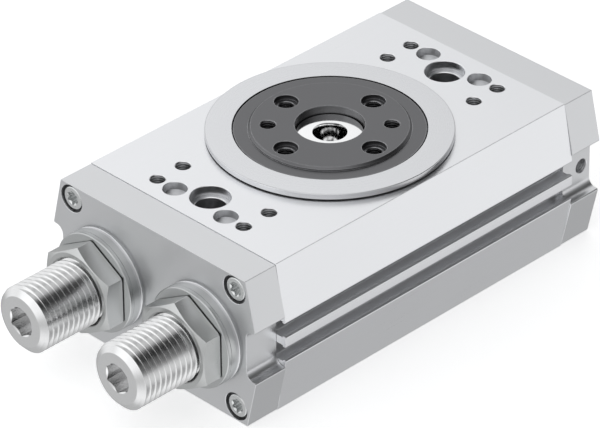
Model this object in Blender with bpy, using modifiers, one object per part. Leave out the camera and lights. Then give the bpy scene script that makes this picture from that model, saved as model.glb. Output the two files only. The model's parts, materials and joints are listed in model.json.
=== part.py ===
"""Twin-piston rotary pneumatic actuator with a flanged output and two adjustable end stops.

Lengths are in millimetres times MM, so every mesh is in metres.  +Z is parallel to the output axis, the stop
screws point along -X, "left" is +Y and "right" is -Y.  The world's origin is under the middle of the whole
actuator; places in this script are measured from the foot of the output axis, and place() adds its distance.
"""

import math

import bmesh
import bpy
from mathutils import Matrix, Vector

MM = 0.001
GAP = 0.3 * MM                       # clearance between a piece and its neighbours

# Housing and end caps
HOUSING_HALF_LENGTH = 57.0 * MM
HOUSING_HEIGHT = 47.6 * MM
MID_HEIGHT = HOUSING_HEIGHT / 2
TOP_HALF_WIDTH = 36.2 * MM
SIDE_HALF_WIDTH = 39.8 * MM
TOP_EDGE_RADIUS = 0.4 * MM
SENSOR_SLOT_OPENING = 4.2 * MM
SENSOR_RIB = 3.5 * MM
SENSOR_SLOT_DEPTH = 3.6 * MM
SENSOR_SLOT_LIP = 1.2 * MM
SENSOR_SLOT_UNDERCUT = 0.5 * MM
FLANK_EDGE_RADIUS = 0.5 * MM
CAP_THICKNESS = 11.1 * MM
CAP_INSET = 0.3 * MM
CAP_EDGE_RADIUS = 0.4 * MM
RECESS_HALF_HEIGHT = 8.0 * MM
RECESS_DEPTH = 3.6 * MM
RECESS_FILLET = 2.2 * MM

# Cap screws, M4 with a six-lobe socket
CAP_SCREW_Y = 32.0 * MM
CAP_SCREW_Z = 19.0 * MM              # above and below mid height
CAP_SCREW_HEAD_RADIUS = 3.5 * MM
CAP_SCREW_HEAD = 4.0 * MM
CAP_SCREW_SHANK_RADIUS = 2.0 * MM
CAP_SCREW_LENGTH = 16.5 * MM
CAP_SCREW_SINK = 0.4 * MM
CAP_SCREW_COUNTERBORE = 4.2 * MM
LOBE_OUTER = 2.2 * MM
LOBE_INNER = 1.6 * MM
SCREW_SOCKET_DEPTH = 2.0 * MM
SCREW_HEAD_EDGE = 0.3 * MM
SCREW_THREAD_DEPTH = 10.0 * MM          # of the holes in the housing

# Pistons and pinion
BORE_RADIUS = 12.5 * MM
PISTON_Y = 19.1 * MM
BORE_HEIGHT = 23.25 * MM             # of the piston and stop axes
PISTON_RADIUS = 12.2 * MM
PISTON_HALF_LENGTH = 36.0 * MM
RACK_CUT_HALF_LENGTH = 24.0 * MM
TOOTH_MODULE = 0.85 * MM
PINION_TEETH = 20
PITCH_RADIUS = TOOTH_MODULE * PINION_TEETH / 2
ADDENDUM = TOOTH_MODULE
DEDENDUM = 1.25 * TOOTH_MODULE
PRESSURE_ANGLE = math.radians(20)
FLANK_CLEARANCE = 0.08 * MM
RACK_TEETH = 14
RACK_HALF_WIDTH = 5.0 * MM
MAGNET_RADIUS = 2.0 * MM
MAGNET_POCKET = 3.2 * MM
MAGNET_SPAN = (-2.9 * MM, -0.4 * MM)  # below the piston's skin
SEAL_GROOVE = (30.5 * MM, 32.9 * MM)
SEAL_GROOVE_RADIUS = 10.4 * MM
SEAL_INNER_RADIUS = 10.7 * MM
SEAL_HALF_WIDTH = 0.9 * MM
BAND_GROOVE = (25.8 * MM, 29.0 * MM)
BAND_GROOVE_RADIUS = 11.3 * MM
BAND_INNER_RADIUS = 11.6 * MM
BAND_HALF_WIDTH = 1.3 * MM
RING_RUNNING_FIT = 0.15 * MM
PISTON_EDGE = 0.5 * MM
RACK_FOOT_SINK = 0.4 * MM            # how far the teeth's feet reach into the piston

# spigots and bosses of the caps
SPIGOT_LENGTH = 3.8 * MM
SPIGOT_GROOVE_RADIUS = 10.9 * MM
SPIGOT_GROOVE_START = 1.1 * MM
SPIGOT_GROOVE_WIDTH = 2.0 * MM
SPIGOT_CORE_RADIUS = 8.0 * MM
O_RING_RADIUS = 11.8 * MM
O_RING_SECTION = 0.5 * MM
O_RING_OFFSET = 1.7 * MM
BOSS_RADIUS = 15.0 * MM
BOSS_HEIGHT = 1.0 * MM
PORT_RADIUS = 2.15 * MM
PORT_MOUTH_RADIUS = 2.55 * MM
PORT_DEPTH = 5.0 * MM
PORT_OFFSET = 7.5 * MM               # from the cap's inner face
PORT_DROP = 0.3 * MM                 # below mid height

# Output shaft, flange and bearings, all heights above the underside
SHAFT_BORE_RADIUS = 3.5 * MM
SHAFT_TOP = 48.0 * MM
SHAFT_TOP_RADIUS = 9.5 * MM
SHAFT_BOTTOM = 1.5 * MM
SHAFT_LEAD_IN = 1.4 * MM
SHAFT_COLLAR_RADIUS = 8.6 * MM
SHAFT_GROOVE_RADIUS = 6.6 * MM
JOURNAL_RADIUS = 7.2 * MM
PINION_BOTTOM = 11.5 * MM
PINION_TOP = 36.0 * MM
CHAMBER_RADIUS = 9.8 * MM
FLANGE_RADIUS = 27.0 * MM
FLANGE_RIM_TOP = 49.45 * MM
FLANGE_FACE = 50.5 * MM
FLANGE_FACE_RADIUS = 22.85 * MM
FLANGE_HOLE_CIRCLE = 17.25 * MM
FLANGE_EDGE = 0.5 * MM
FLANGE_HUB_RADIUS = 22.2 * MM
FLANGE_UNDERCUT_RADIUS = 24.0 * MM
FLANGE_CENTRING_DEPTH = 1.4 * MM
FLANGE_THREAD_DEPTH = 9.0 * MM
COVER_TOP = 49.65 * MM
COVER_RADIUS = 34.9 * MM
COVER_INNER_RADIUS = 27.35 * MM
COVER_SPIGOT_RADIUS = 30.7 * MM
COVER_SEAT_RADIUS = 31.0 * MM
COVER_UNDERSIDE = HOUSING_HEIGHT + 0.4 * MM
COVER_EDGE = 0.6 * MM
UPPER_BEARING_BOTTOM = 38.9 * MM
UPPER_BEARING_TOP = 45.9 * MM
UPPER_BEARING_PITCH = 25.75 * MM
UPPER_BALL_RADIUS = 1.9 * MM
UPPER_BEARING_RADII = (22.5 * MM, 29.0 * MM)
UPPER_BEARING_LAND = 1.25 * MM       # half of the space between the rings
UPPER_BALLS = 16
UPPER_CAGE_HALF_WALL = 0.5 * MM
UPPER_RELIEF_RADIUS = 25.6 * MM
UPPER_RELIEF_DEPTH = 0.5 * MM
LOWER_BEARING_BOTTOM = 4.6 * MM
LOWER_BEARING_TOP = 9.6 * MM
LOWER_BEARING_PITCH = 9.8 * MM
LOWER_BALL_RADIUS = 1.1 * MM
LOWER_BEARING_RADII = (7.5 * MM, 12.0 * MM)
LOWER_BEARING_LAND = 0.8 * MM
LOWER_BALLS = 10
LOWER_CAGE_HALF_WALL = 0.3 * MM
CIRCLIP_GROOVE_BOTTOM = 3.0 * MM
CIRCLIP_GROOVE_DEPTH = 0.9 * MM
CIRCLIP_HEIGHT = 3.8 * MM
CIRCLIP_THICKNESS = 1.0 * MM
CIRCLIP_GAP_DEGREES = 30
CIRCLIP_LUG = 0.8 * MM
CIRCLIP_LUG_DEGREES = 14
SHAFT_CIRCLIP_RADII = (6.9 * MM, 8.3 * MM)
BEARING_CIRCLIP_RADII = (11.0 * MM, 12.9 * MM)

# Holes in the top face
FIXING_HOLE_X = 46.2 * MM
FIXING_COUNTERBORE_RADIUS = 5.75 * MM
FIXING_COUNTERBORE_DEPTH = 3.0 * MM
FIXING_HOLE_RADIUS = 4.5 * MM
CENTRING_HOLE = (50.0 * MM, 10.0 * MM)
CENTRING_HOLE_RADIUS = 3.45 * MM
CENTRING_HOLE_DEPTH = 2.8 * MM
TAPPED_HOLES = ((50.0 * MM, 16.9 * MM), (40.4 * MM, 16.9 * MM))
TAPPED_HOLE_RADIUS = 2.15 * MM
TAPPED_HOLE_DEPTH = 8.0 * MM

# End stops
STOP_RADIUS = 9.9 * MM
STOP_BORE_RADIUS = 10.2 * MM
STOP_PITCH = 1.875 * MM
STOP_CREST_CLEARANCE = 0.4 * MM       # the trimming envelope stands off the crests by this
THREAD_DEPTH = 1.2 * MM
STOP_LENGTH = 46.0 * MM
STOP_FRONT_X = -99.7 * MM
STOP_FACE_RADIUS = 7.6 * MM
STOP_CHAMFER = 1.3 * MM               # length along the axis
STOP_SOCKET_ACROSS_FLATS = 8.0 * MM
STOP_SOCKET_DEPTH = 8.0 * MM
BUFFER_STEM_RADIUS = 3.0 * MM
BUFFER_STEM_LENGTH = 5.0 * MM
BUFFER_RADIUS = 8.0 * MM
BUFFER_THICKNESS = 3.3 * MM
BUFFER_EDGE = 0.7 * MM
NUT_ACROSS_FLATS = 24.3 * MM
NUT_FACE_STEP = 0.3 * MM              # the front chamfer starts this far inside the flats
NUT_CHAMFER_DEGREES = 26
NUT_BACK_EDGE = 0.9 * MM
NUT_THICKNESS = 5.9 * MM
NUT_BACK_X = -73.5 * MM
NUT_TO_DISC = 0.5 * MM
SEAL_DISC_RADIUS = 15.0 * MM
SEAL_DISC_THICKNESS = 1.35 * MM
SUPPORT_DISC_THICKNESS = 1.65 * MM
DISC_EDGE = 0.3 * MM

# The output axis stands this far along +X from the middle of the whole length
OUTPUT_X = -(STOP_FRONT_X + HOUSING_HALF_LENGTH + GAP + CAP_THICKNESS) / 2

ALONG_X = (math.pi / 2, 0, math.pi / 2)        # outline drawn in Y and Z, thickness along X
AXIS_TO_FRONT = (0, -math.pi / 2, 0)           # turned about local Z, which points along -X
AXIS_TO_REAR = (0, math.pi / 2, 0)             # the same, with local Z along +X
SIDES = {"left": 1, "right": -1}
ENDS = {"front": -1, "rear": 1}
HEXAGON_CORNER = 2 / math.sqrt(3)

MATERIALS = {
    "anodised_aluminium": ((0.74, 0.75, 0.77), 0.38, 0.9),
    "turned_steel": ((0.72, 0.72, 0.72), 0.22, 1.0),
    "dark_flange_steel": ((0.14, 0.14, 0.145), 0.4, 0.9),
    "bearing_steel": ((0.6, 0.6, 0.62), 0.2, 1.0),
    "nut_steel": ((0.5, 0.51, 0.5), 0.35, 1.0),
    "hard_anodised_piston": ((0.3, 0.3, 0.32), 0.45, 0.7),
    "black_rubber": ((0.03, 0.03, 0.03), 0.7, 0.0),
    "green_polyurethane": ((0.12, 0.25, 0.16), 0.6, 0.0),
    "magnet_grey": ((0.2, 0.2, 0.21), 0.35, 0.8),
    "brass_cage": ((0.6, 0.45, 0.2), 0.35, 0.9),
}


# ---------------------------------------------------------------- scene and materials

def clear_scene():
    for obj in list(bpy.data.objects):
        bpy.data.objects.remove(obj, do_unlink=True)


def make_collection(name):
    collection = bpy.data.collections.new(name)
    bpy.context.scene.collection.children.link(collection)
    return collection


def make_material(name):
    colour, roughness, metallic = MATERIALS[name]
    material = bpy.data.materials.get(name) or bpy.data.materials.new(name)
    material.use_nodes = True
    shader = material.node_tree.nodes["Principled BSDF"]
    shader.inputs["Base Color"].default_value = (*colour, 1.0)
    shader.inputs["Roughness"].default_value = roughness
    shader.inputs["Metallic"].default_value = metallic
    return material


clear_scene()
PARTS = make_collection("rotary_actuator")
CUTTERS = make_collection("cutters")


def place(obj, location=(0, 0, 0), rotation=(0, 0, 0)):
    """Puts an object at a location measured from the foot of the output axis."""
    obj.location = Vector(location) + Vector((OUTPUT_X, 0, 0))
    obj.rotation_euler = rotation
    return obj


def add_part(name, mesh, material, location=(0, 0, 0), rotation=(0, 0, 0), smooth=False):
    obj = bpy.data.objects.new(name, mesh)
    PARTS.objects.link(obj)
    mesh.materials.append(make_material(material))
    if smooth:
        mesh.shade_smooth()
    return place(obj, location, rotation)


def add_cutter(name, mesh, location=(0, 0, 0), rotation=(0, 0, 0)):
    obj = bpy.data.objects.new(name, mesh)
    CUTTERS.objects.link(obj)
    obj.hide_render = True
    obj.display_type = "WIRE"
    return place(obj, location, rotation)


def combine(obj, tool, operation="DIFFERENCE"):
    modifier = obj.modifiers.new(f"{operation.lower()} {tool.name}", "BOOLEAN")
    modifier.operation = operation
    modifier.solver = "EXACT"
    modifier.object = tool


# ---------------------------------------------------------------- shapes

def mesh_from(bm, name):
    mesh = bpy.data.meshes.new(name)
    bmesh.ops.recalc_face_normals(bm, faces=bm.faces)
    bm.to_mesh(mesh)
    bm.free()
    return mesh


def cylinders(name, radius, low, high, centres=((0, 0),), steps=24):
    """Solid cylinders about lines parallel to local Z, as one mesh."""
    bm = bmesh.new()
    for x, y in centres:
        matrix = Matrix.Translation((x, y, (low + high) / 2))
        bmesh.ops.create_cone(bm, cap_ends=True, segments=steps, radius1=radius, radius2=radius,
                              depth=high - low, matrix=matrix)
    return mesh_from(bm, name)


def box(name, low, high):
    bm = bmesh.new()
    bmesh.ops.create_cube(bm, size=1.0)
    size = Vector(high) - Vector(low)
    centre = (Vector(high) + Vector(low)) / 2
    for vert in bm.verts:
        vert.co = Vector(vert.co[axis] * size[axis] + centre[axis] for axis in range(3))
    return mesh_from(bm, name)


def turned(name, profile, steps=48, closed=False):
    """Mesh of a profile in (radius, height) turned once about local Z."""
    bm = bmesh.new()
    verts = [bm.verts.new((radius, 0, height)) for radius, height in profile]
    for first, second in zip(verts, verts[1:]):
        bm.edges.new((first, second))
    if closed:
        bm.edges.new((verts[-1], verts[0]))
    mesh = bpy.data.meshes.new(name)
    bm.to_mesh(mesh)
    bm.free()
    helper = bpy.data.objects.new(name, mesh)
    CUTTERS.objects.link(helper)
    screw = helper.modifiers.new("turn", "SCREW")
    screw.steps = steps
    screw.render_steps = steps
    screw.use_merge_vertices = True
    screw.merge_threshold = 0.01 * MM
    return baked(helper, name)


def ring(name, inner, outer, low, high, steps=48):
    profile = ((outer, high), (outer, low), (inner, low), (inner, high))
    return turned(name, profile, steps, closed=True)


def baked(obj, name):
    """The object's evaluated mesh, cleaned; the object itself is removed."""
    bpy.context.view_layer.update()
    depsgraph = bpy.context.evaluated_depsgraph_get()
    mesh = bpy.data.meshes.new_from_object(obj.evaluated_get(depsgraph))
    bpy.data.objects.remove(obj, do_unlink=True)
    bm = bmesh.new()
    bm.from_mesh(mesh)
    bmesh.ops.remove_doubles(bm, verts=bm.verts, dist=0.002 * MM)
    bmesh.ops.recalc_face_normals(bm, faces=bm.faces)
    bm.to_mesh(mesh)
    bm.free()
    mesh.name = name
    return mesh


def prism(name, outlines, thickness):
    """Flat outlines as a plate centred on local z = 0; an outline inside another one is a hole in it."""
    curve = bpy.data.curves.new(name, "CURVE")
    curve.dimensions = "2D"
    curve.fill_mode = "BOTH"
    curve.extrude = thickness / 2
    for outline in outlines:
        spline = curve.splines.new("POLY")
        spline.points.add(len(outline) - 1)
        for point, (x, y) in zip(spline.points, outline):
            point.co = (x, y, 0, 1)
        spline.use_cyclic_u = True
    obj = bpy.data.objects.new(name, curve)
    CUTTERS.objects.link(obj)
    return baked(obj, name)


def arc(centre, radius, start, end, steps):
    """Points from start to end, in degrees, both included."""
    angles = [math.radians(start + (end - start) * k / steps) for k in range(steps + 1)]
    return [(centre[0] + radius * math.cos(a), centre[1] + radius * math.sin(a)) for a in angles]


def rounded(corners, steps=4):
    """An outline whose corners, given as (x, y, radius), are rounded where the radius isn't zero."""
    outline = []
    for k, (x, y, radius) in enumerate(corners):
        here = Vector((x, y))
        if radius == 0:
            outline.append((x, y))
            continue
        before = (Vector(corners[k - 1][:2]) - here).normalized()
        after = (Vector(corners[(k + 1) % len(corners)][:2]) - here).normalized()
        half = before.angle(after) / 2
        centre = here + (before + after).normalized() * radius / math.sin(half)
        first = here + before * radius / math.tan(half) - centre
        last = here + after * radius / math.tan(half) - centre
        turn = first.angle_signed(last)
        for step in range(steps + 1):
            spoke = first.copy()
            spoke.rotate(Matrix.Rotation(-turn * step / steps, 2))
            outline.append(tuple(centre + spoke))
    return outline


def mirrored(half):
    """A closed outline from its +x half, given from top to bottom."""
    return list(half) + [(-x, y) for x, y in reversed(half)]


def hexagon(across_flats):
    corner = across_flats * HEXAGON_CORNER / 2
    return [(corner * math.cos(k * math.pi / 3), corner * math.sin(k * math.pi / 3)) for k in range(6)]


# ---------------------------------------------------------------- housing

def housing_outline():
    """Half of the extrusion's section: sloping flanks and two undercut sensor slots on each side."""
    rib = SENSOR_RIB / 2
    slot = rib + SENSOR_SLOT_OPENING
    undercut = SENSOR_SLOT_UNDERCUT
    floor = SIDE_HALF_WIDTH - SENSOR_SLOT_DEPTH
    neck = SIDE_HALF_WIDTH - SENSOR_SLOT_LIP
    half = [(TOP_HALF_WIDTH, MID_HEIGHT, TOP_EDGE_RADIUS), (SIDE_HALF_WIDTH, slot, FLANK_EDGE_RADIUS)]
    for low, high in ((rib, slot), (-slot, -rib)):
        if low < 0:
            half.append((SIDE_HALF_WIDTH, high, 0))
        half += [(neck, high, 0), (neck, high + undercut, 0), (floor, high + undercut, 0)]
        half += [(floor, low - undercut, 0), (neck, low - undercut, 0), (neck, low, 0)]
        if low > 0:
            half.append((SIDE_HALF_WIDTH, low, 0))
    half += [(SIDE_HALF_WIDTH, -slot, FLANK_EDGE_RADIUS), (TOP_HALF_WIDTH, -MID_HEIGHT, TOP_EDGE_RADIUS)]
    outline = half + [(-x, y, radius) for x, y, radius in reversed(half)]
    return rounded(outline)


def output_cavity():
    """Space along the output axis: bearing seats, pinion chamber and the circlip groove."""
    upper_relief = UPPER_BEARING_BOTTOM - GAP
    relief_floor = upper_relief - UPPER_RELIEF_DEPTH
    seat = UPPER_BEARING_RADII[1] + GAP
    lower_seat = LOWER_BEARING_RADII[1] + GAP
    groove = lower_seat + CIRCLIP_GROOVE_DEPTH
    above = HOUSING_HEIGHT + 1 * MM
    profile = (
        (0, above), (COVER_SEAT_RADIUS, above), (COVER_SEAT_RADIUS, UPPER_BEARING_TOP),
        (seat, UPPER_BEARING_TOP), (seat, upper_relief), (UPPER_RELIEF_RADIUS, upper_relief),
        (UPPER_RELIEF_RADIUS, relief_floor), (CHAMBER_RADIUS, relief_floor),
        (CHAMBER_RADIUS, LOWER_BEARING_TOP + GAP), (lower_seat, LOWER_BEARING_TOP + GAP),
        (lower_seat, LOWER_BEARING_BOTTOM), (groove, LOWER_BEARING_BOTTOM), (groove, CIRCLIP_GROOVE_BOTTOM),
        (lower_seat, CIRCLIP_GROOVE_BOTTOM), (lower_seat, -1 * MM), (0, -1 * MM),
    )
    return turned("output cavity", profile, 32)


def four_ways(x, y):
    return [(x * sx, y * sy) for sx in (-1, 1) for sy in (-1, 1)]


def cap_screw_places():
    """(name suffix, y, z) of the four screws of a cap."""
    return [(f"{level}_{side}", sign * CAP_SCREW_Y, MID_HEIGHT + up * CAP_SCREW_Z)
            for level, up in (("upper", 1), ("lower", -1)) for side, sign in SIDES.items()]


def build_housing():
    outline = prism("housing", [housing_outline()], 2 * HOUSING_HALF_LENGTH)
    housing = add_part("housing", outline, "anodised_aluminium", (0, 0, MID_HEIGHT), ALONG_X)
    combine(housing, add_cutter("output cavity", output_cavity()))
    reach = HOUSING_HALF_LENGTH + 1 * MM
    bores = cylinders("piston bores", BORE_RADIUS, -reach, reach, [(0, PISTON_Y), (0, -PISTON_Y)], 30)
    combine(housing, add_cutter("piston bores", bores, (0, 0, BORE_HEIGHT), AXIS_TO_REAR))
    screw_hole = CAP_SCREW_SHANK_RADIUS + GAP
    for end, sign in ENDS.items():
        places = [(-(z - MID_HEIGHT), y) for _, y, z in cap_screw_places()]
        inner = HOUSING_HALF_LENGTH - SCREW_THREAD_DEPTH
        span = sorted((sign * inner, sign * reach))
        holes = cylinders(f"{end} cap screw threads", screw_hole, *span, places, 8)
        combine(housing, add_cutter(f"{end} cap screw threads", holes, (0, 0, MID_HEIGHT), AXIS_TO_REAR))
    top = HOUSING_HEIGHT
    over = top + 1 * MM
    fixing = [(-FIXING_HOLE_X, 0), (FIXING_HOLE_X, 0)]
    recess = top - FIXING_COUNTERBORE_DEPTH
    tapped = [place_ for x, y in TAPPED_HOLES for place_ in four_ways(x, y)]
    holes = (
        ("fixing counterbores", FIXING_COUNTERBORE_RADIUS, recess, fixing, 16),
        ("fixing holes", FIXING_HOLE_RADIUS, -1 * MM, fixing, 12),
        ("centring holes", CENTRING_HOLE_RADIUS, top - CENTRING_HOLE_DEPTH, four_ways(*CENTRING_HOLE), 12),
        ("tapped holes", TAPPED_HOLE_RADIUS, top - TAPPED_HOLE_DEPTH, tapped, 8),
    )
    for name, radius, low, centres, steps in holes:
        combine(housing, add_cutter(name, cylinders(name, radius, low, over, centres, steps)))


# ---------------------------------------------------------------- end caps

def cap_outline():
    half_height = MID_HEIGHT - CAP_INSET
    top = TOP_HALF_WIDTH
    side = SIDE_HALF_WIDTH
    wall = side - RECESS_DEPTH
    ledge = RECESS_HALF_HEIGHT - 0.1 * MM       # the recess has a slight draft
    half = [
        (top, half_height, CAP_EDGE_RADIUS), (side, RECESS_HALF_HEIGHT, 0), (wall, ledge, RECESS_FILLET),
        (wall, -ledge, RECESS_FILLET), (side, -RECESS_HALF_HEIGHT, 0), (top, -half_height, CAP_EDGE_RADIUS),
    ]
    return rounded(half + [(-x, y, radius) for x, y, radius in reversed(half)])


def build_cap(end):
    """A cap with two spigots in the bores; the front one has bosses and bores for the stop screws."""
    sign = ENDS[end]
    inner = HOUSING_HALF_LENGTH + GAP
    outer = inner + CAP_THICKNESS
    plate = prism(f"{end}_end_cap", [cap_outline()], CAP_THICKNESS)
    middle = sign * (inner + outer) / 2
    cap = add_part(f"{end}_end_cap", plate, "anodised_aluminium", (middle, 0, MID_HEIGHT), ALONG_X)
    rotation = AXIS_TO_FRONT if end == "front" else AXIS_TO_REAR
    for side, side_sign in SIDES.items():
        axis = (0, side_sign * PISTON_Y, BORE_HEIGHT)
        post = turned(f"{end} {side} post", post_profile(inner, outer, end == "front"), 28)
        combine(cap, add_cutter(f"{end} {side} post", post, axis, rotation), "UNION")
        if end == "front":
            bore = cylinders(f"{side} stop bore", STOP_BORE_RADIUS, 40 * MM, 80 * MM, steps=30)
            combine(cap, add_cutter(f"{side} stop bore", bore, axis, rotation))
        else:
            build_port(cap, side, side_sign)
    head_seat = outer - CAP_SCREW_SINK - CAP_SCREW_HEAD - GAP
    places = [((z - MID_HEIGHT) * -sign, y) for _, y, z in cap_screw_places()]
    seats = cylinders(f"{end} head seats", CAP_SCREW_COUNTERBORE, head_seat, outer + 1 * MM, places, 16)
    holes = cylinders(f"{end} screw holes", CAP_SCREW_SHANK_RADIUS + GAP, inner - 1 * MM, outer, places, 8)
    for name, mesh in ((f"{end} head seats", seats), (f"{end} screw holes", holes)):
        combine(cap, add_cutter(name, mesh, (0, 0, MID_HEIGHT), rotation))


def post_profile(inner, outer, with_boss):
    """Spigot that enters the bore, with an O-ring groove, and on the front cap the boss on the outer face."""
    radius = PISTON_RADIUS
    groove = SPIGOT_GROOVE_RADIUS
    core = SPIGOT_CORE_RADIUS
    low = inner - SPIGOT_LENGTH
    groove_low = low + SPIGOT_GROOVE_START
    groove_high = groove_low + SPIGOT_GROOVE_WIDTH
    if with_boss:
        fillet = BOSS_HEIGHT * 0.8
        sunk = 0.03 * MM                 # the fillet ends just inside the cap
        curve = arc((BOSS_RADIUS + fillet, outer + fillet - sunk), fillet, 180, 270, 2)
        head = [(0, outer + BOSS_HEIGHT), (BOSS_RADIUS, outer + BOSS_HEIGHT), *curve]
        head += [(BOSS_RADIUS + fillet, outer - 1 * MM), (core, outer - 1.5 * MM), (core, inner + 1.5 * MM)]
    else:
        head = [(0, inner + 1.5 * MM), (core, inner + 1.5 * MM)]
    return head + [
        (radius, inner + 1 * MM), (radius, groove_high), (groove, groove_high),
        (groove, groove_low), (radius, groove_low), (radius, low), (0, low),
    ]


def build_port(cap, side, sign):
    """M5 supply port in the side recess, with a chamfered mouth."""
    wall = SIDE_HALF_WIDTH - RECESS_DEPTH
    x = HOUSING_HALF_LENGTH + GAP + PORT_OFFSET
    profile = (
        (0, wall + 1 * MM), (PORT_MOUTH_RADIUS, wall + 1 * MM), (PORT_MOUTH_RADIUS, wall - 0.1 * MM),
        (PORT_RADIUS, wall - 0.5 * MM), (PORT_RADIUS, wall - PORT_DEPTH), (0, wall - PORT_DEPTH),
    )
    mouth = turned(f"{side} port", profile, 14)
    combine(cap, add_cutter(f"{side} port", mouth, (x, 0, MID_HEIGHT - PORT_DROP), (-sign * math.pi / 2, 0, 0)))


def six_lobe_outline():
    points = []
    for k in range(12):
        radius = LOBE_INNER if k % 2 else LOBE_OUTER
        points.append((radius * math.cos(k * math.pi / 6), radius * math.sin(k * math.pi / 6)))
    return points


def build_cap_screws(end):
    """Local z = 0 is the outer face of the head, and the shank runs towards negative z."""
    sign = ENDS[end]
    edge = SCREW_HEAD_EDGE
    face = sign * (HOUSING_HALF_LENGTH + GAP + CAP_THICKNESS - CAP_SCREW_SINK)
    rotation = AXIS_TO_FRONT if end == "front" else AXIS_TO_REAR
    tip = -CAP_SCREW_HEAD - CAP_SCREW_LENGTH
    profile = (
        (0, 0), (CAP_SCREW_HEAD_RADIUS - edge, 0), (CAP_SCREW_HEAD_RADIUS, -edge),
        (CAP_SCREW_HEAD_RADIUS, -CAP_SCREW_HEAD), (CAP_SCREW_SHANK_RADIUS, -CAP_SCREW_HEAD),
        (CAP_SCREW_SHANK_RADIUS, tip), (0, tip),
    )
    for suffix, y, z in cap_screw_places():
        name = f"{end}_cap_screw_{suffix}"
        screw = add_part(name, turned(name, profile, 12), "bearing_steel", (face, y, z), rotation)
        socket = prism(f"{name} socket", [six_lobe_outline()], 2 * SCREW_SOCKET_DEPTH)
        combine(screw, add_cutter(f"{name} socket", socket, (face, y, z), rotation))


def build_cap_seals(end):
    """O-rings in the spigot grooves."""
    x = ENDS[end] * (HOUSING_HALF_LENGTH + GAP - O_RING_OFFSET)
    for side, sign in SIDES.items():
        name = f"{end}_cap_o_ring_{side}"
        section = arc((O_RING_RADIUS, 0), O_RING_SECTION, 0, 300, 5)
        mesh = turned(name, section, 16, closed=True)
        add_part(name, mesh, "black_rubber", (x, sign * PISTON_Y, BORE_HEIGHT), AXIS_TO_REAR, smooth=True)


# ---------------------------------------------------------------- output shaft, flange, bearings

def involute(angle):
    return math.tan(angle) - angle


def pinion_outline():
    base = PITCH_RADIUS * math.cos(PRESSURE_ANGLE)
    root = PITCH_RADIUS - DEDENDUM
    tip = PITCH_RADIUS + ADDENDUM
    half_tooth = math.pi / (2 * PINION_TEETH) - FLANK_CLEARANCE / PITCH_RADIUS
    radii = [base + (tip - base) * k / 2 for k in (1, 2)]
    flank = [(root, half_tooth + involute(PRESSURE_ANGLE))]
    flank += [(r, half_tooth + involute(PRESSURE_ANGLE) - involute(math.acos(base / r))) for r in radii]
    outline = []
    for tooth in range(PINION_TEETH):
        centre = math.pi / 2 + tooth * 2 * math.pi / PINION_TEETH
        for radius, angle in flank:
            outline.append((radius * math.cos(centre - angle), radius * math.sin(centre - angle)))
        for radius, angle in reversed(flank):
            outline.append((radius * math.cos(centre + angle), radius * math.sin(centre + angle)))
    return outline


def build_pinion_shaft():
    collar = LOWER_BEARING_TOP + GAP
    root = PITCH_RADIUS - DEDENDUM - 0.2 * MM          # inside the roots of the teeth
    profile = (
        (SHAFT_BORE_RADIUS + SHAFT_LEAD_IN, SHAFT_TOP), (SHAFT_TOP_RADIUS, SHAFT_TOP),
        (SHAFT_TOP_RADIUS, PINION_TOP), (root, PINION_TOP), (root, PINION_BOTTOM),
        (SHAFT_COLLAR_RADIUS, PINION_BOTTOM), (SHAFT_COLLAR_RADIUS, collar), (JOURNAL_RADIUS, collar),
        (JOURNAL_RADIUS, LOWER_BEARING_BOTTOM), (SHAFT_GROOVE_RADIUS, LOWER_BEARING_BOTTOM),
        (SHAFT_GROOVE_RADIUS, CIRCLIP_GROOVE_BOTTOM), (JOURNAL_RADIUS, CIRCLIP_GROOVE_BOTTOM),
        (JOURNAL_RADIUS, SHAFT_BOTTOM), (SHAFT_BORE_RADIUS, SHAFT_BOTTOM),
        (SHAFT_BORE_RADIUS, SHAFT_TOP - SHAFT_LEAD_IN),
    )
    shaft = add_part("pinion_shaft", turned("pinion_shaft", profile, 24, closed=True), "turned_steel")
    face = PINION_TOP - PINION_BOTTOM + 0.2 * MM
    bore = arc((0, 0), SHAFT_BORE_RADIUS + 1 * MM, 0, 337.5, 15)
    teeth = prism("pinion teeth", [pinion_outline(), bore], face)
    middle = (PINION_TOP + PINION_BOTTOM) / 2
    combine(shaft, add_cutter("pinion teeth", teeth, (0, 0, middle)), "UNION")


def build_flange():
    hub = FLANGE_HUB_RADIUS
    edge = FLANGE_EDGE
    bore = SHAFT_TOP_RADIUS + GAP
    under = UPPER_BEARING_TOP + GAP
    profile = (
        (FLANGE_FACE_RADIUS - edge, FLANGE_FACE), (FLANGE_FACE_RADIUS, FLANGE_FACE - edge),
        (FLANGE_FACE_RADIUS, FLANGE_RIM_TOP), (FLANGE_RADIUS, FLANGE_RIM_TOP), (FLANGE_RADIUS, under + GAP),
        (FLANGE_UNDERCUT_RADIUS, under + GAP), (FLANGE_UNDERCUT_RADIUS, under), (hub, under),
        (hub, UPPER_BEARING_BOTTOM + GAP),
        (bore, UPPER_BEARING_BOTTOM + GAP), (bore, FLANGE_FACE),
    )
    flange = add_part("drive_flange", turned("drive_flange", profile, 36, closed=True), "dark_flange_steel")
    radius = FLANGE_HOLE_CIRCLE
    cross = [(radius, 0), (-radius, 0), (0, radius), (0, -radius)]
    diagonal = [(radius * sign / math.sqrt(2), -radius * sign / math.sqrt(2)) for sign in (-1, 1)]
    over = FLANGE_FACE + 1 * MM
    holes = (
        ("flange centring holes", CENTRING_HOLE_RADIUS, FLANGE_FACE - FLANGE_CENTRING_DEPTH, cross, 12),
        ("flange threads", TAPPED_HOLE_RADIUS, FLANGE_FACE - FLANGE_THREAD_DEPTH, cross + diagonal, 8),
    )
    for name, hole_radius, low, centres, steps in holes:
        combine(flange, add_cutter(name, cylinders(name, hole_radius, low, over, centres, steps)))


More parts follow.
